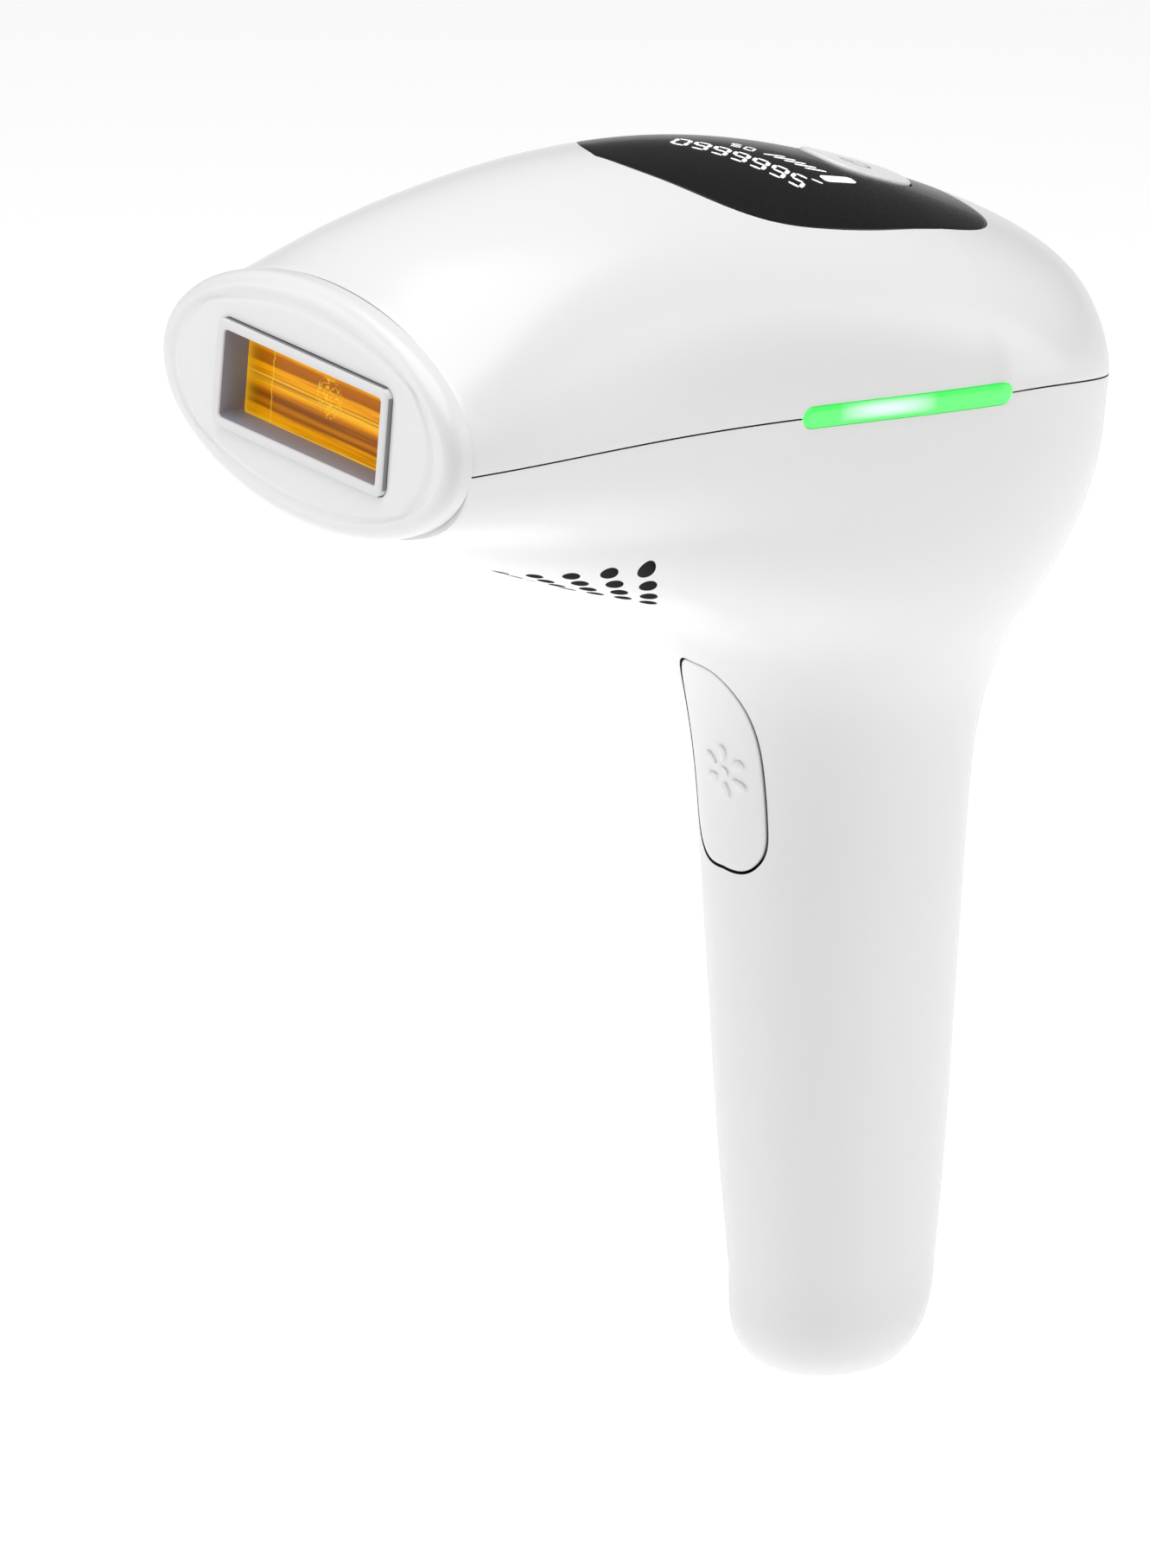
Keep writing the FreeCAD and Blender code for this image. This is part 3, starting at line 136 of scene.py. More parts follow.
@dataclass(frozen=True)
class HeadFrame:
    """The pitched frame of the head."""

    seam_height: float = 153.1
    pitch: float = math.radians(5.3)

    def world(self, x: float, u: float, w: float) -> Vector:
        """A point of the head frame, in the row frame."""
        lean, rise = math.cos(self.pitch), math.sin(self.pitch)
        return Vector((x, u * lean + w * rise, self.seam_height - u * rise + w * lean))

    def local(self, point: Vector) -> Vector:
        """A point of the row frame, in the head frame."""
        lean, rise = math.cos(self.pitch), math.sin(self.pitch)
        over = point.z - self.seam_height
        return Vector((point.x, point.y * lean - over * rise, point.y * rise + over * lean))

    def matrix(self, u: float = 0.0, w: float = 0.0) -> Matrix:
        """A matrix in metres from a point of the head frame to the row frame."""
        turn = Euler((-self.pitch, 0, 0)).to_matrix().to_4x4()
        return Matrix.Translation(self.world(0, u, w) * MM) @ turn


@dataclass(frozen=True)
class HousingForm:
    """The outer form of the housing: a half-round head over a swept handle."""

    head: HeadFrame = HeadFrame()
    nose: float = 89.6
    back: float = 36.0
    half_width: float = 35.4
    rise: float = 30.6
    reach: float = 213.0
    waist_depth: float = 0.11
    back_power: float = 2.5
    grip: float = 19.0
    grip_half: float = 16.3
    foot: tuple[float, float, float] = (8.5, 4.5, 7.0)
    foot_round: tuple[float, float, float] = (9.0, 14.0, 9.0)
    dip_from: float = 3.0
    dip_rate: float = 0.0058
    least_room: float = 4.0
    dip_fade: float = 55.0
    past_nose: float = 4.0
    nose_closing: float = 0.5

    def __post_init__(self) -> None:
        """Works out the curves once."""
        crest = [(-1.2, 0.49), (-1.0, 0.60), (-0.89, 0.75), (-0.725, 0.91), (-0.47, 1.0),
                 (-0.27, 0.957), (0.0, 0.761), (0.52, 0.552), (1.0, 0.41)]
        scaled = [(share * (self.nose if share < 0 else self.back), value) for share, value in crest]
        object.__setattr__(self, "crest", SmoothCurve(scaled))
        front = [(0.091, 0.80), (0.20, 0.875), (0.445, 1.0), (0.55, 1.047), (0.614, 1.095), (0.666, 1.18),
                 (0.705, 1.31), (0.738, 1.50), (0.764, 1.84), (0.798, 2.60), (0.832, 3.40), (0.862, 4.03),
                 (0.899, 4.80), (0.924, 6.2), (0.958, 8.95), (1.0, 11.21)]
        rear = [(0.091, 0.80), (0.20, 0.875), (0.445, 1.0), (0.55, 1.058), (0.614, 1.12), (0.666, 1.22),
                (0.718, 1.32), (0.764, 1.46), (0.816, 1.62), (0.869, 1.76), (0.934, 1.86), (1.0, 1.895)]
        side = [(0.091, 0.785), (0.20, 0.873), (0.445, 1.0), (0.55, 1.057), (0.614, 1.12), (0.666, 1.226),
                (0.718, 1.43), (0.764, 1.67), (0.816, 1.90), (0.869, 2.05), (0.934, 2.147), (1.0, 2.172)]
        slices = [0.09, 0.15, 0.20, 0.28, 0.37, 0.46, 0.54, 0.60, 0.645, 0.68, 0.71, 0.735, 0.757, 0.779,
                  0.802, 0.825, 0.848, 0.871, 0.894, 0.917, 0.940, 0.963, 0.982, 1.0]
        for name, points in (("front", front), ("rear", rear), ("side", side)):
            steady = steady_curve(points)
            object.__setattr__(self, name, SmoothCurve([(share, steady(share)) for share in slices]))

    def waist(self, u: float) -> float:
        """How much narrower the head is at a place along it, as a factor."""
        start, end = -100.0, 10.0
        if u <= start or u >= end:
            return 1.0
        return 1.0 - self.waist_depth * math.sin(math.pi * (u - start) / (end - start)) ** 2

    def head_half(self, u: float) -> float:
        """Half width of the head at the seam."""
        if u > 0:
            return self.half_width * (1 - min(1.0, u / self.back) ** self.back_power) ** (1 / self.back_power)
        return self.half_width * math.sqrt(1 - (u / self.reach) ** 2) * self.waist(u)

    def head_top(self, u: float) -> float:
        """Height of the crest over the seam."""
        height = self.crest(u) * self.rise
        if u > 0:
            height *= (1 - min(1.0, u / self.back) ** 4) ** 0.45
        return height

    def slice_sizes(self, height: float) -> tuple[float, float, float]:
        """Front, rear and side half sizes of a slice at a height along the handle."""
        share = height / self.head.seam_height
        ends = (self.reach, self.back, self.half_width)
        starts = (0.9, 0.7, 0.7)
        found = []
        for i, (curve, grip) in enumerate(((self.front, self.grip), (self.rear, self.grip),
                                           (self.side, self.grip_half))):
            full = curve(share) * grip
            full += (ends[i] - curve(1.0) * grip) * share_between(share, starts[i], 1.0)
            radius = self.foot_round[i]
            if height < radius:
                full = self.foot[i] + (full - self.foot[i]) * math.sqrt(1 - (1 - height / radius) ** 2)
            found.append(full)
        return found[0], found[1], found[2]

    def slice_tilt(self, height: float) -> float:
        """How far a slice is tipped forwards, from level on the grip to the head's pitch."""
        return self.head.pitch * share_between(height / self.head.seam_height, 0.60, 0.757)

    def slice_half(self, height: float, y: float) -> float:
        """Half width of a slice at a place along it."""
        front, rear, side = self.slice_sizes(height)
        share = height / self.head.seam_height
        narrowing = share_between(share, 0.73, 0.93)
        if y >= 0:
            power = 2.0 + (self.back_power - 2.0) * share_between(share, 0.65, 1.0)
            half = side * (1 - min(1.0, y / rear) ** power) ** (1 / power)
        elif y >= -self.nose - self.past_nose:
            half = side * math.sqrt(max(0.0, 1 - (y / front) ** 2))
        else:
            cut = side * math.sqrt(max(0.0, 1 - ((self.nose + self.past_nose) / front) ** 2))
            past = -self.nose - self.past_nose - y
            half = cut * math.sqrt(max(0.0, 1 - (past / (self.nose_closing * cut)) ** 2))
        return half * (1 - (1 - self.waist(y)) * narrowing)

    def slice_reach(self, height: float) -> float:
        """How far a slice goes forwards, closed just past the joint with the treatment head."""
        front, _, side = self.slice_sizes(height)
        end = self.nose + self.past_nose
        if front <= end:
            return front
        return end + self.nose_closing * side * math.sqrt(1 - (end / front) ** 2)

    def settle(self, point: Vector) -> Vector:
        """Drops the seam towards the back of the head, and leaves the crest and the grip in place."""
        local = self.head.local(point)
        if local.y <= self.dip_from:
            return point
        drop = self.dip_rate * (local.y - self.dip_from) ** 2
        if local.z >= 0:
            room = max(self.head_top(min(local.y, self.back)), self.least_room)
            fade = 1 - share_between(local.z, 0.0, room)
        else:
            fade = 1 - share_between(-local.z, 0.0, self.dip_fade)
        fade = fade * fade * (3 - 2 * fade)
        return self.head.world(local.x, local.y, local.z - drop * fade)

    def upper(self, x: float, u: float) -> Vector:
        """The point of the upper cover over a place of the seam plane."""
        half = self.head_half(u)
        w = self.head_top(u) * math.sqrt(max(0.0, 1 - (x / half) ** 2))
        return self.settle(self.head.world(x, u, w))

    def flank(self, u: float, w: float) -> Vector:
        """The point on the +X side of the head at a place of its middle plane."""
        if w >= 0:
            x = self.head_half(u) * math.sqrt(max(0.0, 1 - (w / self.head_top(u)) ** 2))
        else:
            height = self.head.seam_height + w / math.cos(self.head.pitch)
            x = self.slice_half(height, u + w * math.tan(self.head.pitch))
        return self.settle(self.head.world(x, u, w))

    def grip_front(self, x: float, z: float) -> Vector:
        """The point on the front of the grip at a place seen square from the front."""
        height, y = z, 0.0
        for _ in range(6):
            front, _, side = self.slice_sizes(height)
            y = -front * math.sqrt(max(0.0, 1 - (x / side) ** 2))
            height = z + y * math.sin(self.slice_tilt(height))
        return Vector((x, y * math.cos(self.slice_tilt(height)), z))

    def lower_ring(self, height: float, count: int) -> list[Vector]:
        """One slice round the handle or the underside of the head."""
        _, rear, _ = self.slice_sizes(height)
        reach = self.slice_reach(height)
        tilt = self.slice_tilt(height)
        ring = []
        for i in range(count):
            turn = 2 * math.pi * i / count
            y = math.cos(turn) * (rear if math.cos(turn) > 0 else reach)
            x = math.copysign(self.slice_half(height, y), math.sin(turn))
            if abs(math.sin(turn)) < 1e-9:
                x = 0.0
            point = Vector((x, y * math.cos(tilt), height - y * math.sin(tilt)))
            ring.append(self.settle(point))
        return ring


FORM = HousingForm()
HEAD = FORM.head
NOSE_RISE = 1.4


# ---------------------------------------------------------------- mesh helpers
def make_mesh(name: str, points: Sequence[Vector], faces: Sequence[Sequence[int]]) -> bpy.types.Object:
    """A mesh object from points in millimetres.

    Args:
        name: The object's name.
        points: Vertices in the row frame.
        faces: Vertex numbers of each face.

    Returns:
        The new object, in the scene.
    """
    mesh = bpy.data.meshes.new(name)
    mesh.from_pydata([point * MM for point in points], [], faces)
    item = bpy.data.objects.new(name, mesh)
    bpy.context.scene.collection.objects.link(item)
    return item


def tidy_mesh(item: bpy.types.Object, merge: float = 0.002, outwards: bool = True) -> None:
    """Merges doubles and turns the faces of a closed mesh outwards."""
    work = bmesh.new()
    work.from_mesh(item.data)
    bmesh.ops.remove_doubles(work, verts=work.verts, dist=merge * MM)
    bmesh.ops.dissolve_degenerate(work, edges=work.edges, dist=merge * MM)
    if outwards:
        bmesh.ops.recalc_face_normals(work, faces=work.faces)
    work.to_mesh(item.data)
    work.free()


def band(here: int, there: int, count: int) -> list[tuple[int, ...]]:
    """The faces between two rings, from the numbers of their first points."""
    return [(here + i, here + (i + 1) % count, there + (i + 1) % count, there + i) for i in range(count)]


def circle(radius: float, count: int) -> list[Point]:
    """Points evenly round a circle."""
    return [(radius * math.cos(2 * math.pi * i / count), radius * math.sin(2 * math.pi * i / count))
            for i in range(count)]


def ring_mesh(name: str, rings: Sequence[Sequence[Vector]], closed: bool = False,
              caps: bool = False) -> bpy.types.Object:
    """A skin through rings that all have the same number of points.

    Args:
        name: The object's name.
        rings: Closed rings of points, in order.
        closed: Joins the last ring to the first.
        caps: Fills the first and the last ring.

    Returns:
        The new object.
    """
    count = len(rings[0])
    points = [point for ring in rings for point in ring]
    faces = []
    for r in range(len(rings) if closed else len(rings) - 1):
        faces += band(r * count, ((r + 1) % len(rings)) * count, count)
    if caps:
        faces.append(tuple(range(count))[::-1])
        faces.append(tuple((len(rings) - 1) * count + i for i in range(count)))
    item = make_mesh(name, points, faces)
    tidy_mesh(item)
    return item


def settle_modifiers(item: bpy.types.Object) -> None:
    """Turns an object's modifiers into its plain mesh."""
    graph = bpy.context.evaluated_depsgraph_get()
    graph.update()
    mesh = bpy.data.meshes.new_from_object(item.evaluated_get(graph))
    item.modifiers.clear()
    item.data = mesh
    mesh.name = item.name


def carve(item: bpy.types.Object, cutters: Sequence[bpy.types.Object]) -> None:
    """Takes cutters away from a closed mesh and deletes them; each cut wears its cutter's finish."""
    for cutter in cutters:
        if not cutter.data.materials:
            cutter.data.materials.append(item.data.materials[0])
        step = item.modifiers.new("Carve", "BOOLEAN")
        step.operation = "DIFFERENCE"
        step.solver = "EXACT"
        step.material_mode = "TRANSFER"
        step.object = cutter
    settle_modifiers(item)
    for cutter in cutters:
        bpy.data.objects.remove(cutter)


def join_meshes(name: str, items: Sequence[bpy.types.Object]) -> bpy.types.Object:
    """Puts several meshes into one object, and keeps their materials."""
    work = bmesh.new()
    materials: list[bpy.types.Material] = []
    for item in items:
        start = len(work.faces)
        work.from_mesh(item.data)
        work.faces.ensure_lookup_table()
        places = []
        for material in item.data.materials:
            if material not in materials:
                materials.append(material)
            places.append(materials.index(material))
        for face in work.faces[start:]:
            face.material_index = places[face.material_index] if places else 0
        bpy.data.objects.remove(item)
    mesh = bpy.data.meshes.new(name)
    work.to_mesh(mesh)
    work.free()
    for material in materials:
        mesh.materials.append(material)
    joined = bpy.data.objects.new(name, mesh)
    bpy.context.scene.collection.objects.link(joined)
    return joined


def rounded_rectangle(half_x: float, half_y: float, radius: float, long_steps: int = 40,
                      short_steps: int = 16, corner_steps: int = 6) -> list[Point]:
    """A rounded rectangle as a ring of points, the same number for every size."""
    corners = [(1, 1, 0), (-1, 1, 90), (-1, -1, 180), (1, -1, 270)]
    arcs = []
    for sx, sy, start in corners:
        centre = (sx * (half_x - radius), sy * (half_y - radius))
        arcs.append([(centre[0] + radius * math.cos(math.radians(start + 90 * i / corner_steps)),
                      centre[1] + radius * math.sin(math.radians(start + 90 * i / corner_steps)))
                     for i in range(corner_steps + 1)])
    ring: list[Point] = []
    for i, arc in enumerate(arcs):
        ring += arc
        steps = long_steps if i % 2 == 0 else short_steps
        before, after = arc[-1], arcs[(i + 1) % 4][0]
        ring += [(before[0] + (after[0] - before[0]) * k / steps,
                  before[1] + (after[1] - before[1]) * k / steps) for k in range(1, steps)]
    return ring


def smooth_outline(right_half: Sequence[Point], count: int = 96) -> list[Point]:
    """A mirrored closed outline through the points of its right half, evenly spaced.

    Args:
        right_half: Points from one end on the middle line to the other.
        count: How many points the whole ring has.

    Returns:
        The ring of points.
    """
    lengths = [0.0]
    for before, after in zip(right_half, right_half[1:]):
        lengths.append(lengths[-1] + math.dist(before, after))
    across = SmoothCurve([(lengths[i], point[0]) for i, point in enumerate(right_half)])
    along = SmoothCurve([(lengths[i], point[1]) for i, point in enumerate(right_half)])
    steps = count // 2
    right = [(across(lengths[-1] * i / steps), along(lengths[-1] * i / steps)) for i in range(steps + 1)]
    return right + [(-x, y) for x, y in right[-2:0:-1]]


def grown(outline: Sequence[Point], centre: Point, margin: float) -> list[Point]:
    """An outline moved outwards from a centre by a margin."""
    ring = []
    for x, y in outline:
        reach = math.dist((x, y), centre)
        scale = (reach + margin) / reach
        ring.append((centre[0] + (x - centre[0]) * scale, centre[1] + (y - centre[1]) * scale))
    return ring


def normal_of(surface: Surface, a: float, b: float, outwards: Vector) -> Vector:
    """The unit normal of a surface, turned towards a direction."""
    step = 0.05
    along = surface(a + step, b) - surface(a - step, b)
    across = surface(a, b + step) - surface(a, b - step)
    normal = along.cross(across).normalized()
    return normal if normal.dot(outwards) > 0 else -normal


@dataclass(frozen=True)
class Draped:
    """A plate that follows a curved surface inside an outline, with rounded upper edges."""

    surface: Surface
    outwards: Vector
    centre: Point
    proud: float = 0.0
    edge: float = 0.3
    depth: float = 1.3
    dish: float = 0.0

    def build(self, name: str, outline: Sequence[Point], hole: Sequence[Point] | None = None,
              rings: int = 18) -> bpy.types.Object:
        """Makes the plate.

        Args:
            name: The piece's name.
            outline: Its outer ring of points, in the surface's own two numbers.
            hole: An inner ring with as many points, or None.
            rings: How many steps lie between the middle and the edge.

        Returns:
            The closed plate.
        """
        inner = list(hole) if hole else [self.centre] * len(outline)
        rounding = 4
        layers = []
        for k in range(rings):
            layers.append([self.spot(inner[i], outline[i], k / rings) for i in range(len(outline))])
        for k in range(rounding + 1):
            turn = 0.5 * math.pi * k / rounding
            inset = self.edge * (1 - math.sin(turn))
            drop = self.edge * (1 - math.cos(turn))
            layers.append([self.spot(inner[i], outline[i], 1.0, inset, drop) for i in range(len(outline))])
        for share in (1.0, 0.66, 0.33, 0.0):
            layers.append([self.spot(inner[i], outline[i], share, 0.0, self.proud + self.depth)
                           for i in range(len(outline))])
        return ring_mesh(name, layers, closed=hole is not None)

    def spot(self, inner: Point, outer: Point, share: float, inset: float = 0.0, drop: float = 0.0) -> Vector:
        """One point of the plate, between an inner and an outer point of its outline."""
        gap = math.dist(inner, outer)
        share = min(share, 1 - max(inset, 0.0) / gap) if inset else min(share, 1.0)
        if share < 1.0 and not inset:
            share = share * (1 - self.edge * 1.05 / gap)
        a = inner[0] + (outer[0] - inner[0]) * share
        b = inner[1] + (outer[1] - inner[1]) * share
        sag = self.dish * (1 - share * share)
        lift = self.proud - sag - drop
        return self.surface(a, b) + normal_of(self.surface, a, b, self.outwards) * lift


# ---------------------------------------------------------------- node trees
class NodeTree:
    """A node tree that is filled node by node."""

    def __init__(self, tree: bpy.types.NodeTree) -> None:
        """Wraps a tree."""
        self.tree = tree

    def node(self, kind: str, settings: dict[str, object] | None = None,
             inputs: dict[str | int, object] | None = None) -> bpy.types.Node:
        """Adds a node, with its settings first and then its inputs.

        Args:
            kind: The node's type.
            settings: Properties such as an operation.
            inputs: Values or links, by input name or number.

        Returns:
            The node.
        """
        node = self.tree.nodes.new(kind)
        for key, value in (settings or {}).items():
            if key == "stops":
                ramp = node.color_ramp.elements
                while len(ramp) < len(value):
                    ramp.new(0.5)
                for element, (place, colour) in zip(ramp, value):
                    element.position = place
                    element.color = colour
            else:
                setattr(node, key, value)
        for key, value in (inputs or {}).items():
            self.feed(node.inputs[key], value)
        return node

    def feed(self, socket: bpy.types.NodeSocket, value: object) -> None:
        """Links or sets one input."""
        if isinstance(value, Value):
            value = value.socket
        if isinstance(value, bpy.types.NodeSocket):
            self.tree.links.new(value, socket)
        else:
            socket.default_value = value


class GeometryTree(NodeTree):
    """A Geometry Nodes tree with named inputs, built in the script."""

    def __init__(self, name: str, finish: bpy.types.Material) -> None:
        """Starts an empty tree that ends in Realize Instances and Set Material."""
        super().__init__(bpy.data.node_groups.new(name, "GeometryNodeTree"))
        for way in ("INPUT", "OUTPUT"):
            self.tree.interface.new_socket("Geometry", in_out=way, socket_type="NodeSocketGeometry")
        self.source = self.node("NodeGroupInput")
        self.sink = self.node("NodeGroupOutput")
        self.finish = finish
        self.values: dict[str, object] = {}

    def input(self, name: str, kind: str, value: object) -> bpy.types.NodeSocket:
        """Adds a named input and gives its socket inside the tree."""
        socket = self.tree.interface.new_socket(name, in_out="INPUT", socket_type=kind)
        self.values[socket.identifier] = value
        return self.source.outputs[name]

    def maths(self, operation: str, first: object, second: object = 0.0) -> bpy.types.NodeSocket:
        """The result of one Math node."""
        return self.node("ShaderNodeMath", {"operation": operation}, {0: first, 1: second}).outputs[0]

    def bake(self, name: str, geometry: bpy.types.NodeSocket) -> bpy.types.Object:
        """Runs the tree once and keeps its plain mesh.

        Args:
            name: The new object's name.
            geometry: The socket that holds the finished instances.

        Returns:
            A mesh object without modifiers.
        """
        real = self.node("GeometryNodeRealizeInstances", inputs={"Geometry": geometry})
        dressed = self.node("GeometryNodeSetMaterial",
                            inputs={"Geometry": real.outputs[0], "Material": self.finish})
        self.feed(self.sink.inputs[0], dressed.outputs[0])
        holder = bpy.data.objects.new(name, bpy.data.meshes.new(name))
        bpy.context.scene.collection.objects.link(holder)
        step = holder.modifiers.new("Tree", "NODES")
        step.node_group = self.tree
        for identifier, value in self.values.items():
            step[identifier] = value
        settle_modifiers(holder)
        return holder


# ---------------------------------------------------------------- finishes
class Value:
    """A shader socket that takes part in Python arithmetic."""

    def __init__(self, shader: "Shader", socket: bpy.types.NodeSocket) -> None:
        """Wraps one socket of a shader."""
        self.shader = shader
        self.socket = socket

    def combine(self, operation: str, other: "Value | float", swapped: bool = False) -> "Value":
        """One Math node between this value and another."""
        first, second = (other, self) if swapped else (self, other)
        return self.shader.maths(operation, first, second)

    def __add__(self, other: "Value | float") -> "Value":
        """Adds."""
        return self.combine("ADD", other)

    def __radd__(self, other: float) -> "Value":
        """Adds to a number."""
        return self.combine("ADD", other, True)

    def __sub__(self, other: "Value | float") -> "Value":
        """Takes away."""
        return self.combine("SUBTRACT", other)

    def __rsub__(self, other: float) -> "Value":
        """Takes away from a number."""
        return self.combine("SUBTRACT", other, True)

    def __mul__(self, other: "Value | float") -> "Value":
        """Multiplies."""
        return self.combine("MULTIPLY", other)

    def __rmul__(self, other: float) -> "Value":
        """Multiplies a number."""
        return self.combine("MULTIPLY", other, True)

    def __truediv__(self, other: "Value | float") -> "Value":
        """Divides."""
        return self.combine("DIVIDE", other)

    def __pow__(self, other: float) -> "Value":
        """Raises to a power."""
        return self.combine("POWER", other)

    def __abs__(self) -> "Value":
        """The size without the sign."""
        return self.combine("ABSOLUTE", 0.0)

    def clamp(self) -> "Value":
        """Holds the value to 0 and 1."""
        return self.shader.value("ShaderNodeClamp", inputs={"Value": self})


class Shader(NodeTree):
    """A material under construction."""

    def __init__(self, name: str) -> None:
        """Starts a material with one Principled surface."""
        self.material = bpy.data.materials.new(name)
        self.material.use_nodes = True
        super().__init__(self.material.node_tree)
        self.tree.nodes.clear()
        self.surface = self.node("ShaderNodeBsdfPrincipled")
        self.output = self.node("ShaderNodeOutputMaterial")
        self.tree.links.new(self.surface.outputs[0], self.output.inputs["Surface"])

    def value(self, kind: str, settings: dict[str, object] | None = None,
              inputs: dict[str | int, object] | None = None, output: str | int = 0) -> Value:
        """The output of a new node, ready for arithmetic."""
        return Value(self, self.node(kind, settings, inputs).outputs[output])

    def maths(self, operation: str, first: object, second: object = 0.0) -> Value:
        """The result of one Math node."""
        return self.value("ShaderNodeMath", {"operation": operation}, {0: first, 1: second})

    def place(self) -> Value:
        """Object coordinates, in metres of the row frame."""
        return self.value("ShaderNodeTexCoord", output="Object")

    def axes(self, place: Value | None = None) -> tuple[Value, Value, Value]:
        """The three numbers of a place, in millimetres."""
        parts = self.node("ShaderNodeSeparateXYZ", inputs={0: place or self.place()})
        return tuple(Value(self, parts.outputs[i]) * (1 / MM) for i in range(3))

    def noise(self, per_mm: float, detail: float = 3.0, place: Value | None = None,
              roughness: float = 0.5) -> Value:
        """Cloudy noise with a number of cells per millimetre."""
        return self.value("ShaderNodeTexNoise", inputs={
            "Vector": place or self.place(), "Scale": per_mm / MM, "Detail": detail, "Roughness": roughness})

    def stretched(self, x: float, y: float, z: float) -> Value:
        """Object coordinates scaled along each axis."""
        return self.value("ShaderNodeMapping", inputs={"Vector": self.place(), "Scale": (x, y, z)})

    def mix(self, factor: object, first: object, second: object) -> Value:
        """A colour between two colours."""
        node = self.node("ShaderNodeMix", {"data_type": "RGBA"})
        for index, value in ((0, factor), (6, first), (7, second)):
            self.feed(node.inputs[index], value)
        return Value(self, node.outputs[2])

    def ramp(self, factor: object, stops: Sequence[tuple[float, tuple[float, float, float, float]]]) -> Value:
        """A colour ramp."""
        return self.value("ShaderNodeValToRGB", {"stops": stops}, {0: factor})

    def dress(self, **sockets: object) -> None:
        """Sets or links inputs of the surface; underscores stand for spaces."""
        for name, value in sockets.items():
            self.feed(self.surface.inputs[name.replace("_", " ")], value)

    def bump(self, height: Value, depth_mm: float, strength: float = 1.0) -> None:
        """Feeds a height to the surface's normal."""
        bump = self.node("ShaderNodeBump", inputs={
            "Height": height, "Distance": depth_mm * MM, "Strength": strength})
        self.feed(self.surface.inputs["Normal"], bump.outputs[0])


Colour = tuple[float, float, float]


def shade(colour: Colour, factor: float = 1.0) -> tuple[float, float, float, float]:
    """A colour with full alpha, made lighter or darker."""
    return (min(1.0, colour[0] * factor), min(1.0, colour[1] * factor), min(1.0, colour[2] * factor), 1.0)


@dataclass(frozen=True)
class Moulded:
    """Moulded plastic: a fine spark-eroded grain, cloudy gloss and a faint flow mottle."""

    name: str
    colour: Colour
    roughness: float = 0.3
    coat: float = 0.0
    grain: float = 5.0
    grain_depth: float = 0.004
    mottle: float = 0.02
    gloss_drift: float = 0.05

    def material(self) -> bpy.types.Material:
        """Builds the material."""
        shader = Shader(self.name)
        flow = shader.noise(0.018, 2.0)
        speck = shader.noise(1.1, 4.0, roughness=0.6)
        tint = shader.mix(flow * 0.7 + speck * 0.3, shade(self.colour, 1 - self.mottle),
                          shade(self.colour, 1 + self.mottle))
        smudge = shader.noise(0.09, 3.0)
        shader.dress(Base_Color=tint, Roughness=self.roughness + (smudge - 0.5) * (2 * self.gloss_drift),
                     Coat_Weight=self.coat, Coat_Roughness=0.08, IOR=1.5)
        grain = shader.noise(self.grain, 2.0)
        shader.bump(grain, self.grain_depth)
        return shader.material


@dataclass(frozen=True)
class DisplayBlack:
    """Tinted lens plastic: near black, with a soft bloom of scattered light and fine wipe marks."""

    name: str = "display_black"

    def material(self) -> bpy.types.Material:
        """Builds the material."""
        shader = Shader(self.name)
        bloom = shader.noise(0.02, 2.0)
        tint = shader.mix(bloom, shade((0.006, 0.006, 0.007)), shade((0.014, 0.014, 0.015)))
        wipes = shader.value("ShaderNodeTexNoise", inputs={
            "Vector": shader.stretched(1.0, 9.0, 3.0), "Scale": 420.0, "Detail": 3.0})
        shader.dress(Base_Color=tint, Roughness=0.22 + wipes * 0.10, Coat_Weight=0.15,
                     Coat_Roughness=0.06, IOR=1.45)
        shader.bump(shader.noise(0.25, 2.0), 0.004)
        return shader.material


@dataclass(frozen=True)
class LitPrint:
    """Display strokes lit from behind through the lens."""

    name: str = "display_strokes"
    colour: Colour = (0.93, 0.95, 0.97)
    power: float = 0.75

    def material(self) -> bpy.types.Material:
        """Builds the material."""
        shader = Shader(self.name)
        cells = shader.noise(1.6, 2.0)
        glow = shader.mix(cells, shade(self.colour, 0.86), shade(self.colour))
        shader.dress(Base_Color=glow, Emission_Color=glow, Emission_Strength=self.power, Roughness=0.3)
        shader.bump(shader.noise(3.0), 0.003)
        return shader.material


@dataclass(frozen=True)
class GreenGuide:
    """A light guide lit by lamps behind it: brighter over each lamp, deeper green towards its edges."""

    name: str
    middle: Vector
    length: float
    height: float
    power: float = 0.8

    def material(self) -> bpy.types.Material:
        """Builds the material."""
        shader = Shader(self.name)
        turned = shader.value("ShaderNodeMapping", {"vector_type": "TEXTURE"}, {
            "Vector": shader.place(), "Location": self.middle * MM, "Rotation": (-HEAD.pitch, 0, 0)})
        _, along, up = shader.axes(turned)
        spot = along + 3.5
        lengthways = (1 - (spot / (0.23 * self.length)) ** 2).clamp()
        glow = lengthways * (1 - ((up - 0.25) / (0.42 * self.height)) ** 2).clamp()
        edge = (abs(up) / (0.5 * self.height)).clamp() ** 3
        drift = shader.noise(0.12, 2.0)
        base = shader.mix(edge, shade((0.085, 0.80, 0.13)), shade((0.03, 0.50, 0.07)))
        lit = shader.mix(glow ** 0.8 * (0.75 + drift * 0.3), base, shade((0.52, 1.0, 0.62)))
        shader.dress(Base_Color=lit, Emission_Color=lit, Emission_Strength=self.power, Roughness=0.28,
                     Coat_Weight=0.3, Coat_Roughness=0.1)
        shader.bump(shader.noise(0.7, 3.0), 0.004)
        return shader.material


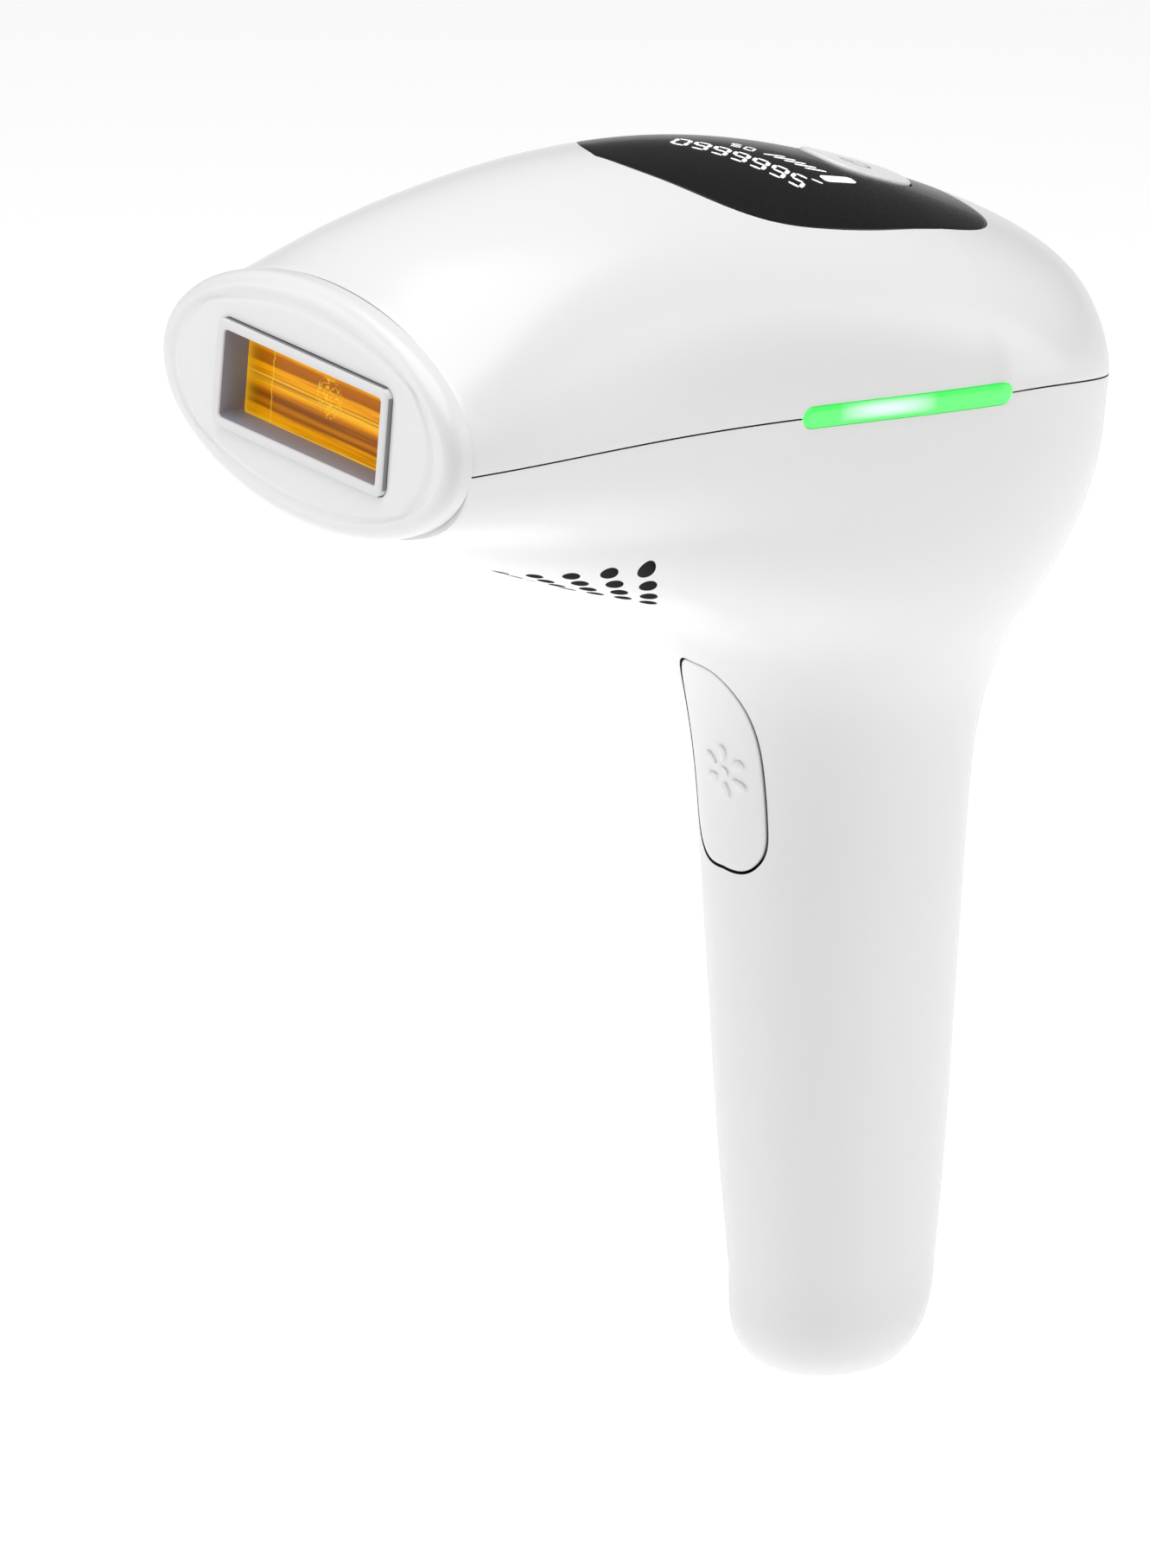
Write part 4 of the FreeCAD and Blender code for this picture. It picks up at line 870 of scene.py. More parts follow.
@dataclass(frozen=True)
class AmberPane:
    """Amber filter glass with the lamp and its trough behind it painted into its colour: bright streaked
    painted reflections, painted shade between them, and a painted glow.
    """

    name: str = "amber_pane"
    height: float = 12.5

    def material(self) -> bpy.types.Material:
        """Builds the material."""
        shader = Shader(self.name)
        middle = HEAD.world(0, -FORM.nose, NOSE_RISE)
        turned = shader.value("ShaderNodeMapping", {"vector_type": "TEXTURE"}, {
            "Vector": shader.place(), "Location": middle * MM, "Rotation": (-HEAD.pitch, 0, 0)})
        across, _, up = shader.axes(turned)
        level = up / self.height + 0.5
        wander = shader.value("ShaderNodeTexNoise", inputs={
            "Vector": shader.value("ShaderNodeMapping", inputs={"Vector": turned, "Scale": (0.05, 1.0, 1.0)}),
            "Scale": 900.0, "Detail": 4.0})
        fine = shader.value("ShaderNodeTexNoise", inputs={
            "Vector": shader.value("ShaderNodeMapping", inputs={"Vector": turned, "Scale": (0.02, 1.0, 1.0)}),
            "Scale": 2600.0, "Detail": 2.0})
        # Painted reflection and shade: pale and dark amber bands stand for the lamp and its polished trough
        # behind the glass.
        amber, deep, dark, pale = (1.0, 0.40, 0.0), (0.62, 0.20, 0.0), (0.26, 0.07, 0.0), (1.0, 0.58, 0.03)
        painted_lamp_bands = shader.ramp(level + (wander - 0.5) * 0.06, [
            (0.00, shade(pale)), (0.05, shade(amber)), (0.12, shade(amber)), (0.16, shade(dark)),
            (0.22, shade(deep)), (0.26, shade(dark, 0.9)), (0.32, shade(dark, 1.2)), (0.37, shade(deep)),
            (0.41, shade(amber)), (0.47, shade(pale)), (0.485, shade(deep)), (0.50, shade(pale)),
            (0.52, shade(deep)), (0.54, shade(amber)), (0.62, shade(amber)), (0.66, shade(dark, 1.5)),
            (0.77, shade(dark, 1.9)), (0.82, shade(amber)), (0.94, shade(pale)), (1.00, shade(amber))])
        # Darker painted lines laid across the painted bands.
        painted_streaks = ((fine - 0.46) * 6.0).clamp()
        tint = shader.mix(painted_streaks * 0.6, painted_lamp_bands, shade(deep, 0.7))
        # Painted glints: a thin pale line, and a pale tangle near the middle.
        wire = 1 - abs(across + 11.7 + (wander - 0.5) * 1.2) / 0.16
        knot = (1 - ((across - 0.6) / 3.0) ** 2 - ((up - 0.9) / 3.2) ** 2).clamp()
        loops = shader.value("ShaderNodeTexNoise", inputs={"Vector": turned, "Scale": 900.0, "Detail": 1.0})
        painted_tangle_glint = (1 - abs(loops - 0.5) * 22.0).clamp() * (knot * 3.0).clamp()
        tint = shader.mix((wire.clamp() + painted_tangle_glint).clamp() * 0.75, tint, shade(pale, 1.15))
        # Paler towards both ends of the pane: painted glow.
        ends = (abs(across) / 17.0) ** 18
        tint = shader.mix(ends.clamp() * 0.7, tint, shade(pale))
        # The emission is a painted glow: the lamp behind the pane is not lit.
        shader.dress(Base_Color=tint, Emission_Color=tint, Emission_Strength=0.34,
                     Roughness=0.22 + wander * 0.06, Specular_IOR_Level=0.1)
        shader.bump(wander, 0.02)
        return shader.material


@dataclass(frozen=True)
class Worked:
    """Metal with fine drawn or brushed lines."""

    name: str
    colour: Colour
    roughness: float = 0.3
    lines: tuple[float, float, float] = (1.0, 12.0, 12.0)

    def material(self) -> bpy.types.Material:
        """Builds the material."""
        shader = Shader(self.name)
        brush = shader.value("ShaderNodeTexNoise", inputs={
            "Vector": shader.stretched(*self.lines), "Scale": 300.0, "Detail": 4.0})
        stain = shader.noise(0.15, 3.0)
        tint = shader.mix(stain, shade(self.colour, 0.88), shade(self.colour, 1.08))
        shader.dress(Base_Color=tint, Metallic=1.0, Roughness=self.roughness * (0.75 + brush * 0.5))
        shader.bump(brush, 0.01)
        return shader.material


@dataclass(frozen=True)
class Laminate:
    """Board laminate: solder mask over copper tracks, with a woven ghost and tinned pads."""

    name: str = "board_laminate"

    def material(self) -> bpy.types.Material:
        """Builds the material."""
        shader = Shader(self.name)
        tracks = shader.value("ShaderNodeTexBrick", {"offset": 0.37}, {
            "Vector": shader.place(), "Color1": (1, 1, 1, 1), "Color2": (0.6, 0.6, 0.6, 1),
            "Mortar": (0, 0, 0, 1), "Scale": 420.0, "Mortar Size": 0.035}, output="Fac")
        pads = shader.value("ShaderNodeTexVoronoi", {"distance": "CHEBYCHEV"}, {
            "Vector": shader.place(), "Scale": 330.0, "Randomness": 0.25}, output="Distance")
        pad = ((0.22 - pads) * 30.0).clamp()
        mask = shader.mix(tracks, shade((0.015, 0.13, 0.055)), shade((0.05, 0.26, 0.12)))
        tint = shader.mix(pad, mask, shade((0.72, 0.70, 0.66)))
        shader.dress(Base_Color=tint, Metallic=pad * 0.9, Roughness=0.38 - pad * 0.12)
        shader.bump(tracks + pad, 0.03)
        return shader.material


@dataclass(frozen=True)
class Winding:
    """Enamelled copper wire wound in close turns."""

    name: str = "copper_winding"

    def material(self) -> bpy.types.Material:
        """Builds the material."""
        shader = Shader(self.name)
        turned = shader.value("ShaderNodeMapping", inputs={
            "Vector": shader.place(), "Rotation": (HEAD.pitch, 0, 0)})
        turns = shader.value("ShaderNodeTexWave", {"bands_direction": "Z"}, {
            "Vector": turned, "Scale": 900.0, "Distortion": 0.6, "Detail": 1.0}, output="Fac")
        # The colour is darker in the grooves between turns and brighter on their crowns: painted shade.
        tint = shader.mix(turns, shade((0.30, 0.10, 0.03)), shade((0.80, 0.36, 0.15)))
        shader.dress(Base_Color=tint, Metallic=0.9, Roughness=0.28 + turns * 0.1)
        shader.bump(turns, 0.08)
        return shader.material


@dataclass(frozen=True)
class Clear:
    """Clear fused quartz with faint drawing lines."""

    name: str = "quartz_tube"

    def material(self) -> bpy.types.Material:
        """Builds the material."""
        shader = Shader(self.name)
        lines = shader.value("ShaderNodeTexNoise", inputs={
            "Vector": shader.stretched(0.05, 1.0, 1.0), "Scale": 500.0, "Detail": 2.0})
        shader.dress(Base_Color=shader.mix(lines, shade((0.90, 0.93, 0.94)), shade((0.97, 0.98, 0.99))),
                     Roughness=0.02 + lines * 0.04, Transmission_Weight=1.0, IOR=1.46)
        shader.bump(lines, 0.01)
        return shader.material


class Finish(Enum):
    """The finishes of the object, by what they are on."""

    HOUSING = Moulded("housing_white", (0.78, 0.78, 0.78), 0.24, 0.25, 4.0, 0.0025, 0.008, 0.035)
    CAP = Moulded("cap_white", (0.78, 0.78, 0.78), 0.30, 0.15, 4.0, 0.003, 0.008, 0.04)
    # Near black inside the white shells and on the walls of cuts: painted shade that keeps seams, holes and
    # gaps dark.
    INNER = Moulded("inner_lacquer", (0.012, 0.012, 0.013), 0.6, 0.0, 2.0, 0.01, 0.1)
    RIM = Moulded("window_rim", (0.84, 0.84, 0.845), 0.35, 0.1, 5.0, 0.004, 0.015)
    # Darker copies of the frame's grey for its outer sides and inner walls: painted shade.
    SIDE = Moulded("window_side", (0.30, 0.30, 0.315), 0.4, 0.1, 5.0, 0.004, 0.03)
    RECESS = Moulded("window_recess", (0.29, 0.325, 0.40), 0.45, 0.0, 5.0, 0.004, 0.03)
    BUTTON = Moulded("button_white", (0.84, 0.84, 0.84), 0.22, 0.3, 4.0, 0.002, 0.006)
    # Grey print on the power key, and painted shade on the side walls of the trigger's petals.
    ICON = Moulded("icon_print", (0.30, 0.31, 0.32), 0.4, 0.0, 6.0, 0.003, 0.02)
    LENS = DisplayBlack()
    STROKES = LitPrint()
    AMBER = AmberPane()
    BOARD = Laminate()
    COPPER = Winding()
    QUARTZ = Clear()
    POLISHED = Worked("polished_reflector", (0.90, 0.90, 0.91), 0.12, (1.0, 20.0, 20.0))
    EXTRUDED = Worked("extruded_sink", (0.68, 0.69, 0.71), 0.34, (12.0, 1.0, 12.0))
    ELECTRODE = Worked("electrode_steel", (0.62, 0.60, 0.57), 0.25)
    SCREW = Worked("screw_steel", (0.56, 0.57, 0.59), 0.30, (8.0, 8.0, 8.0))
    HOLDER = Moulded("holder_polymer", (0.18, 0.18, 0.185), 0.55, 0.0, 2.5, 0.02, 0.06)
    FAN = Moulded("fan_plastic", (0.022, 0.022, 0.024), 0.42, 0.0, 3.5, 0.01, 0.05)
    BLACK = Moulded("component_plastic", (0.03, 0.03, 0.033), 0.48, 0.0, 4.0, 0.008, 0.06)
    FERRITE = Moulded("ferrite", (0.045, 0.045, 0.05), 0.62, 0.0, 1.6, 0.03, 0.12)
    SLEEVE = Moulded("capacitor_sleeve", (0.02, 0.025, 0.05), 0.26, 0.3, 1.2, 0.01, 0.05)

    def get(self) -> bpy.types.Material:
        """The finished material, built once."""
        made = bpy.data.materials.get(self.value.name)
        return made or self.value.material()


def finish_piece(item: bpy.types.Object, finish: Finish | bpy.types.Material, body: str,
                 replaces: Sequence[str] = (), angle: float = 32.0) -> bpy.types.Object:
    """Gives a piece its material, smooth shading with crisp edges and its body.

    Args:
        item: The piece.
        finish: Its material, kept if its mesh has one already.
        body: The body it rides on.
        replaces: CAD nodes that it stands for.
        angle: Edges that turn by more than this many degrees stay crisp.

    Returns:
        The piece.
    """
    if not item.data.materials:
        item.data.materials.append(finish.get() if isinstance(finish, Finish) else finish)
    item.data.shade_smooth()
    item.data.set_sharp_from_angle(angle=math.radians(angle))
    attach(item, body)
    if replaces:
        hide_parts(*replaces)
    log.info("%s: %d faces on %s", item.name, len(item.data.polygons), body)
    return item


# ---------------------------------------------------------------- housing shells
LENS_OUTLINE = ((0.0, -45.0), (5.2, -43.3), (9.5, -40.5), (15.0, -35.2), (18.4, -29.2), (20.3, -20.5),
                (20.6, -10.0), (19.9, -3.4), (18.6, 5.0), (16.2, 11.6), (12.4, 15.2), (6.5, 16.6),
                (0.0, 17.0))
LENS_MIDDLE: Point = (0.0, -14.0)
UP = HEAD.world(0, 0, 1) - HEAD.world(0, 0, 0)
FRONT = Vector((0, -1, 0))


@dataclass(frozen=True)
class LightBars:
    """The two green light guides that lie along the seam."""

    start: float = -31.2
    length: float = 34.0
    height: float = 3.1
    proud: float = 0.4
    gap: float = 0.1
    depth: float = 2.4
    cut_from: float = 24.0
    cut_to: float = 42.0

    def outline(self, margin: float = 0.0) -> list[Point]:
        """A round-ended outline in the head's middle plane."""
        half = self.height / 2 + margin
        near, far = self.spine_ends()
        ends = []
        for centre, start in ((far, -90), (near, 90)):
            ends.append([(centre + half * math.cos(math.radians(start + 180 * i / 16)),
                          half * math.sin(math.radians(start + 180 * i / 16))) for i in range(17)])
        steps = 30
        ring: list[Point] = []
        for here, there in ((ends[0], ends[1]), (ends[1], ends[0])):
            ring += here
            last = here[-1]
            ring += [(last[0] + (there[0][0] - last[0]) * k / steps, last[1]) for k in range(1, steps)]
        return ring

    def spine_ends(self) -> Point:
        """Where the centres of the two round ends stand along the head."""
        return self.start + self.height / 2, self.start + self.length - self.height / 2

    def surface(self, side: int) -> Surface:
        """The head's flank on one side."""
        def spot(u: float, w: float) -> Vector:
            """One point of the flank."""
            point = FORM.flank(u, w)
            return Vector((side * point.x, point.y, point.z))
        return spot

    def cutter(self, side: int) -> bpy.types.Object:
        """A block of the bar's outline through the flank."""
        outline = self.outline(self.gap)
        rings = [[HEAD.world(side * x, u, w) for u, w in outline] for x in (self.cut_from, self.cut_to)]
        return ring_mesh("bar_cutter", rings, caps=True)

    def build(self) -> None:
        """Makes and dresses both bars."""
        middle_u = self.start + self.length / 2
        rings = 6
        for side, node in ((1, "left_light_bar"), (-1, "right_light_bar")):
            outwards = Vector((side, 0, 0))
            steps = [(1 - (1 - k / rings) ** 1.6) for k in range(rings)]
            surface = self.surface(side)
            outline = self.outline()
            layers = []
            near, far = self.spine_ends()
            spine = [(min(max(u, near), far), 0.0) for u, _ in outline]
            for share in steps + [0.93, 0.97, 1.0, 1.0]:
                last = share == 1.0 and len(layers) > rings + 2
                ring = []
                for (u, w), (cu, cw) in zip(outline, spine):
                    a, b = cu + (u - cu) * share, cw + (w - cw) * share
                    lift = -self.depth if last else self.proud * math.sqrt(max(0.0, 1 - share ** 4)) - 0.02
                    ring.append(surface(a, b) + normal_of(surface, a, b, outwards) * lift)
                layers.append(ring)
            layers.append([surface(cu, cw) - outwards * self.depth for cu, cw in spine])
            bar = ring_mesh(f"light_guide_{'left' if side > 0 else 'right'}", layers)
            guide = GreenGuide(f"{node}_green", surface(middle_u, 0), self.length, self.height)
            finish_piece(bar, guide.material(), "housing", (node,), 40)


@dataclass(frozen=True)
class VentHoles:
    """Round air holes on arcs under the head."""

    radius: float = 1.25
    first: float = 14.9
    pitch: float = 3.05
    rows: int = 4
    columns: int = 12
    spread: float = 12.3
    centre: float = 40.0
    fan_power: float = 0.4
    plug_level: float = -45.0
    plug_length: float = 70.0
    sides: int = 20

    def cutter(self) -> bpy.types.Object:
        """All the holes as one mesh of round plugs, laid out by a geometry tree."""
        # The plugs bring the near-black inner finish, so the hole walls are painted shade.
        tree = GeometryTree("vent_plugs", Finish.INNER.get())
        rows = tree.input("Rows", "NodeSocketInt", self.rows)
        columns = tree.input("Columns", "NodeSocketInt", self.columns)
        radius = tree.input("Hole Radius", "NodeSocketFloat", self.radius * MM)
        first = tree.input("First Arc", "NodeSocketFloat", self.first * MM)
        pitch = tree.input("Arc Pitch", "NodeSocketFloat", self.pitch * MM)
        spread = tree.input("Column Angle", "NodeSocketFloat", math.radians(self.spread))
        centre = tree.input("Arc Centre", "NodeSocketFloat", -self.centre * MM)
        count = tree.maths("MULTIPLY", rows, columns)
        points = tree.node("GeometryNodePoints", inputs={"Count": count})
        index = tree.node("GeometryNodeInputIndex").outputs[0]
        row = tree.maths("FLOOR", tree.maths("DIVIDE", index, columns))
        column = tree.maths("MODULO", index, columns)
        middle = tree.maths("DIVIDE", tree.maths("SUBTRACT", columns, 1.0), 2.0)
        arc = tree.maths("ADD", first, tree.maths("MULTIPLY", row, pitch))
        outer = tree.maths("ADD", first, tree.maths("MULTIPLY", tree.maths("SUBTRACT", rows, 1.0), pitch))
        fan_out = tree.maths("POWER", tree.maths("DIVIDE", outer, arc), self.fan_power)
        from_middle = tree.maths("SUBTRACT", column, middle)
        turn = tree.maths("MULTIPLY", tree.maths("MULTIPLY", from_middle, spread), fan_out)
        across = tree.maths("MULTIPLY", arc, tree.maths("SINE", turn))
        along = tree.maths("SUBTRACT", centre, tree.maths("MULTIPLY", arc, tree.maths("COSINE", turn)))
        spot = tree.node("ShaderNodeCombineXYZ", inputs={0: across, 1: along, 2: self.plug_level * MM})
        laid = tree.node("GeometryNodeSetPosition",
                         inputs={"Geometry": points.outputs[0], "Position": spot.outputs[0]})
        plug = tree.node("GeometryNodeMeshCylinder", inputs={
            "Vertices": self.sides, "Radius": radius, "Depth": self.plug_length * MM})
        placed = tree.node("GeometryNodeInstanceOnPoints",
                           inputs={"Points": laid.outputs[0], "Instance": plug.outputs[0]})
        tipped = tree.node("GeometryNodeTransform", inputs={
            "Geometry": placed.outputs[0], "Translation": Vector((0, 0, HEAD.seam_height * MM)),
            "Rotation": Vector((-HEAD.pitch, 0, 0))})
        return tree.bake("vent_cutter", tipped.outputs[0])


@dataclass(frozen=True)
class Trigger:
    """The arched flash trigger on the front of the grip, with its raised flower mark."""

    top: float = 108.8
    bottom: float = 77.9
    half: float = 7.5
    gap: float = 0.32
    depth: float = 2.2
    mark_across: float = 1.5
    mark_height: float = 92.4
    petals: int = 6
    petal_middle: float = 2.85
    petal_long: float = 1.25
    petal_wide: float = 0.72
    petal_height: float = 0.36
    dot_radius: float = 0.75
    dot_height: float = 0.70
    sunk: float = 0.03
    cut_from: float = -10.0
    cut_to: float = -60.0

    def outline(self, margin: float = 0.0) -> list[Point]:
        """The arch, as across and height."""
        shares = ((0.0, 1.0), (0.38, 0.99), (0.74, 0.90), (0.96, 0.745), (1.02, 0.50), (1.0, 0.24),
                  (0.90, 0.09), (0.54, 0.0), (0.0, -0.01))
        half = self.half + margin
        tall = self.top - self.bottom + 2 * margin
        return smooth_outline([(half * x, self.bottom - margin + tall * y) for x, y in shares], 120)

    def cutter(self) -> bpy.types.Object:
        """A block of the trigger's outline through the front of the grip."""
        outline = self.outline(self.gap)
        rings = [[Vector((x, y, z)) for x, z in outline] for y in (self.cut_from, self.cut_to)]
        cutter = ring_mesh("trigger_cutter", rings, caps=True)
        # The walls of the trigger's gap take the near-black inner finish: painted shade.
        cutter.data.materials.append(Finish.INNER.get())
        return cutter

    def petal(self) -> bpy.types.Object:
        """One flat petal that points along +Y from the mark's middle."""
        ring = []
        steps = 20
        for i in range(steps):
            turn = 2 * math.pi * i / steps
            width = self.petal_wide * (1 + 0.35 * math.sin(turn))
            ring.append((width * math.cos(turn), self.petal_middle + self.petal_long * math.sin(turn)))
        shoulder = 0.30
        levels = ((0, 0.0), (shoulder, -0.02), (self.petal_height, -0.14))
        rings = []
        for z, inset in levels:
            outline = grown(ring, (0, self.petal_middle), inset) if inset else ring
            rings.append([Vector((x, y, z)) for x, y in outline])
        return ring_mesh("petal", rings, caps=True)

    def mark(self) -> bpy.types.Object:
        """The flower mark: a ring of petals round a dot, laid on the trigger's face."""
        petal = self.petal()
        tree = GeometryTree("flower_mark", Finish.HOUSING.get())
        count = tree.input("Petals", "NodeSocketInt", self.petals)
        shape = tree.input("Petal", "NodeSocketObject", petal)
        dot_radius = tree.input("Dot Radius", "NodeSocketFloat", self.dot_radius * MM)
        points = tree.node("GeometryNodePoints", inputs={"Count": count})
        index = tree.node("GeometryNodeInputIndex").outputs[0]
        turn = tree.maths("MULTIPLY", tree.maths("DIVIDE", index, count), 2 * math.pi)
        turned = tree.node("ShaderNodeCombineXYZ", inputs={2: turn})
        source = tree.node("GeometryNodeObjectInfo", inputs={"Object": shape})
        laid = tree.node("GeometryNodeInstanceOnPoints", inputs={
            "Points": points.outputs[0], "Instance": source.outputs["Geometry"],
            "Rotation": turned.outputs[0]})
        dot = tree.node("GeometryNodeMeshCylinder", inputs={
            "Vertices": 20, "Radius": dot_radius, "Depth": self.dot_height * MM})
        both = tree.node("GeometryNodeJoinGeometry")
        for part in (laid, dot):
            tree.feed(both.inputs[0], part.outputs[0])
        mark = tree.bake("trigger_mark", both.outputs[0])
        bpy.data.objects.remove(petal)
        for vertex in mark.data.vertices:
            x, z = self.mark_across + vertex.co.x / MM, self.mark_height + vertex.co.y / MM
            lift = max(vertex.co.z / MM, -0.1) - self.sunk
            normal = normal_of(FORM.grip_front, x, z, FRONT)
            vertex.co = (FORM.grip_front(x, z) + normal * lift) * MM
        # The petals' side walls are painted grey as shade along their edges; their tops stay white.
        mark.data.materials.append(Finish.ICON.get())
        for face in mark.data.polygons:
            x, z = face.center.x / MM, face.center.z / MM
            if abs(face.normal.dot(normal_of(FORM.grip_front, x, z, FRONT))) < 0.35:
                face.material_index = 1
        return mark

    def build(self) -> None:
        """Makes and dresses the trigger and its mark."""
        middle = (0.0, (self.top + self.bottom) / 2)
        draped = Draped(FORM.grip_front, FRONT, middle, 0.0, 0.35, self.depth)
        trigger = draped.build("trigger_key", self.outline())
        finish_piece(trigger, Finish.HOUSING, "trigger_key", ("flash_trigger",))
        finish_piece(self.mark(), Finish.HOUSING, "trigger_key")


@dataclass(frozen=True)
class Display:
    """The lens on the crest, its lit strokes and the power button in it."""

    gap: float = 0.12
    thickness: float = 1.3
    button_half: float = 6.7
    button_along: float = 7.3
    button_back: float = 1.5
    button_proud: float = 0.5
    button_gap: float = 0.3
    row_angle: float = math.radians(40)
    row_middle: Point = (4.9, -23.4)
    row_pitch: float = 2.75
    stroke_lift: float = 0.03
    standby_radius: float = 2.0
    cut_from: float = 4.0
    cut_to: float = 45.0

    def lens_ring(self, margin: float = 0.0) -> list[Point]:
        """The leaf-shaped outline of the lens."""
        return grown(smooth_outline(LENS_OUTLINE, 160), LENS_MIDDLE, margin)

    def button_ring(self, margin: float = 0.0, count: int = 160) -> list[Point]:
        """The softly squared outline of the button, in step with the lens outline."""
        ring = []
        power = 2.0 / 2.8
        for i in range(count):
            turn = 2 * math.pi * i / count - math.pi / 2
            x = math.copysign(abs(math.cos(turn)) ** power, math.cos(turn)) * (self.button_half + margin)
            u = math.copysign(abs(math.sin(turn)) ** power, math.sin(turn)) * (self.button_along + margin)
            ring.append((x, u + self.button_back))
        return ring

    def cutter(self) -> bpy.types.Object:
        """A block of the lens outline through the top of the cover."""
        outline = self.lens_ring(self.gap)
        rings = [[HEAD.world(x, u, w) for x, u in outline] for w in (self.cut_from, self.cut_to)]
        return ring_mesh("lens_cutter", rings, caps=True)

    def build(self) -> None:
        """Makes and dresses the lens, the strokes and the button."""
        lens = Draped(FORM.upper, UP, LENS_MIDDLE, 0.0, 0.25, self.thickness)
        plate = lens.build("display_window", self.lens_ring(), self.button_ring(self.button_gap), 26)
        finish_piece(plate, Finish.LENS, "housing", ("display_lens",))
        cap = Draped(FORM.upper, UP, (0.0, self.button_back), self.button_proud, 0.45, 2.2, 0.25)
        key = cap.build("power_key_cap", self.button_ring())
        finish_piece(key, Finish.BUTTON, "power_key", ("power_button",))
        finish_piece(self.power_mark(), Finish.ICON, "power_key")
        finish_piece(self.strokes(), Finish.STROKES, "housing")

    def power_mark(self) -> bpy.types.Object:
        """A plain standby ring with a bar, printed on the button."""
        radius = self.standby_radius
        paths = [[(radius * math.sin(math.radians(a)), self.button_back - radius * math.cos(math.radians(a)))
                  for a in range(35, 326, 10)],
                 [(0.0, self.button_back - 0.4), (0.0, self.button_back - 2.6)]]
        lift = self.button_proud - 0.22
        return self.strip("power_mark", paths, 0.5, lift, Finish.ICON)

    def strip(self, name: str, paths: Sequence[Sequence[Point]], width: float, lift: float,
              finish: Finish) -> bpy.types.Object:
        """Thin raised strokes along paths on the crest.

        Args:
            name: The piece's name.
            paths: Open paths of points across and along the head.
            width: Stroke width.
            lift: Height of the stroke's face over the crest.
            finish: The strokes' finish.

        Returns:
            One object with a closed strip for each path.
        """
        points: list[Vector] = []
        faces: list[tuple[int, ...]] = []
        for path in paths:
            dense: list[Point] = []
            for before, after in zip(path, path[1:]):
                count = max(1, round(math.dist(before, after) / 0.6))
                dense += [(before[0] + (after[0] - before[0]) * k / count,
                           before[1] + (after[1] - before[1]) * k / count) for k in range(count)]
            dense.append(tuple(path[-1]))
            start = len(points)
            for i, (x, u) in enumerate(dense):
                before, after = dense[max(0, i - 1)], dense[min(len(dense) - 1, i + 1)]
                run = Vector((after[0] - before[0], after[1] - before[1])).normalized()
                narrow = 0.6 if i in (0, len(dense) - 1) else 1.0
                side = Vector((-run.y, run.x)) * (width / 2 * narrow)
                for sign, drop in ((1, 0.0), (-1, 0.0), (-1, 0.12), (1, 0.12)):
                    a, b = x + sign * side.x, u + sign * side.y
                    points.append(FORM.upper(a, b) + normal_of(FORM.upper, a, b, UP) * (lift - drop))
            for i in range(len(dense) - 1):
                faces += band(start + 4 * i, start + 4 * i + 4, 4)
            last = start + 4 * (len(dense) - 1)
            faces += [(start + 3, start + 2, start + 1, start), (last, last + 1, last + 2, last + 3)]
        item = make_mesh(name, points, faces)
        tidy_mesh(item)
        item.data.materials.append(finish.get())
        return item

    def digit(self, segments: str, centre: Point, size: Point) -> list[list[Point]]:
        """Paths of one seven-segment digit that reads from the nose end.

        Args:
            segments: Letters a to g of the lit segments.
            centre: Its middle, across and along.
            size: Its half width and half height.

        Returns:
            One path for each segment.
        """
        half, tall = size
        slant = 0.10
        corners = {"a": ((-1, 1), (1, 1)), "b": ((1, 1), (1, 0)), "c": ((1, 0), (1, -1)),
                   "d": ((1, -1), (-1, -1)), "e": ((-1, -1), (-1, 0)), "f": ((-1, 0), (-1, 1)),
                   "g": ((-1, 0), (1, 0))}
        paths = []
        for letter in segments:
            (x0, y0), (x1, y1) = corners[letter]
            middle = ((x0 + x1) / 2, (y0 + y1) / 2)
            short = 0.80
            ends = []
            for x, y in ((x0, y0), (x1, y1)):
                px = middle[0] + (x - middle[0]) * short
                py = middle[1] + (y - middle[1]) * short
                ends.append((centre[0] + half * px + slant * tall * py, centre[1] + tall * py))
            paths.append(ends)
        return paths

    def strokes(self) -> bpy.types.Object:
        """The lit strokes: a slanted row of digits, a small row, level bars, a leaf light and a tick."""
        nine, zero, five = "abcdfg", "abcdef", "acdfg"
        row_turn = Matrix.Rotation(self.row_angle, 2)

        def on_row(paths: Sequence[Sequence[Point]]) -> list[list[Point]]:
            """Paths laid along the slanted row."""
            turned = [[row_turn @ Vector(point) + Vector(self.row_middle) for point in path]
                      for path in paths]
            return [[(point.x, point.y) for point in path] for path in turned]

        wide: list[list[Point]] = []
        for i, segments in enumerate((zero, nine, nine, nine, nine, nine, five)):
            wide += on_row(self.digit(segments, (self.row_pitch * (i - 3), 0.0), (0.92, 1.95)))
        small: list[list[Point]] = []
        for i, segments in enumerate((five, zero)):
            small += on_row(self.digit(segments, (1.9 * i - 1.6, 5.6), (0.6, 1.0)))
        for i in range(5):
            small.append([(3.4 + i, -17.9 + 1.05 * i), (3.8 + i, -14.4 + 1.05 * i)])
        small.append([(10.7, -15.2), (11.7, -14.0)])
        leaf = [[(10.2, -12.9), (10.1, -11.4), (9.9, -9.6), (9.7, -8.0), (9.5, -6.6)]]
        pieces = [self.strip("wide_strokes", wide, 0.58, self.stroke_lift, Finish.STROKES),
                  self.strip("small_strokes", small, 0.42, self.stroke_lift, Finish.STROKES),
                  self.strip("leaf_light", leaf, 1.7, self.stroke_lift, Finish.STROKES)]
        return join_meshes("display_strokes", pieces)


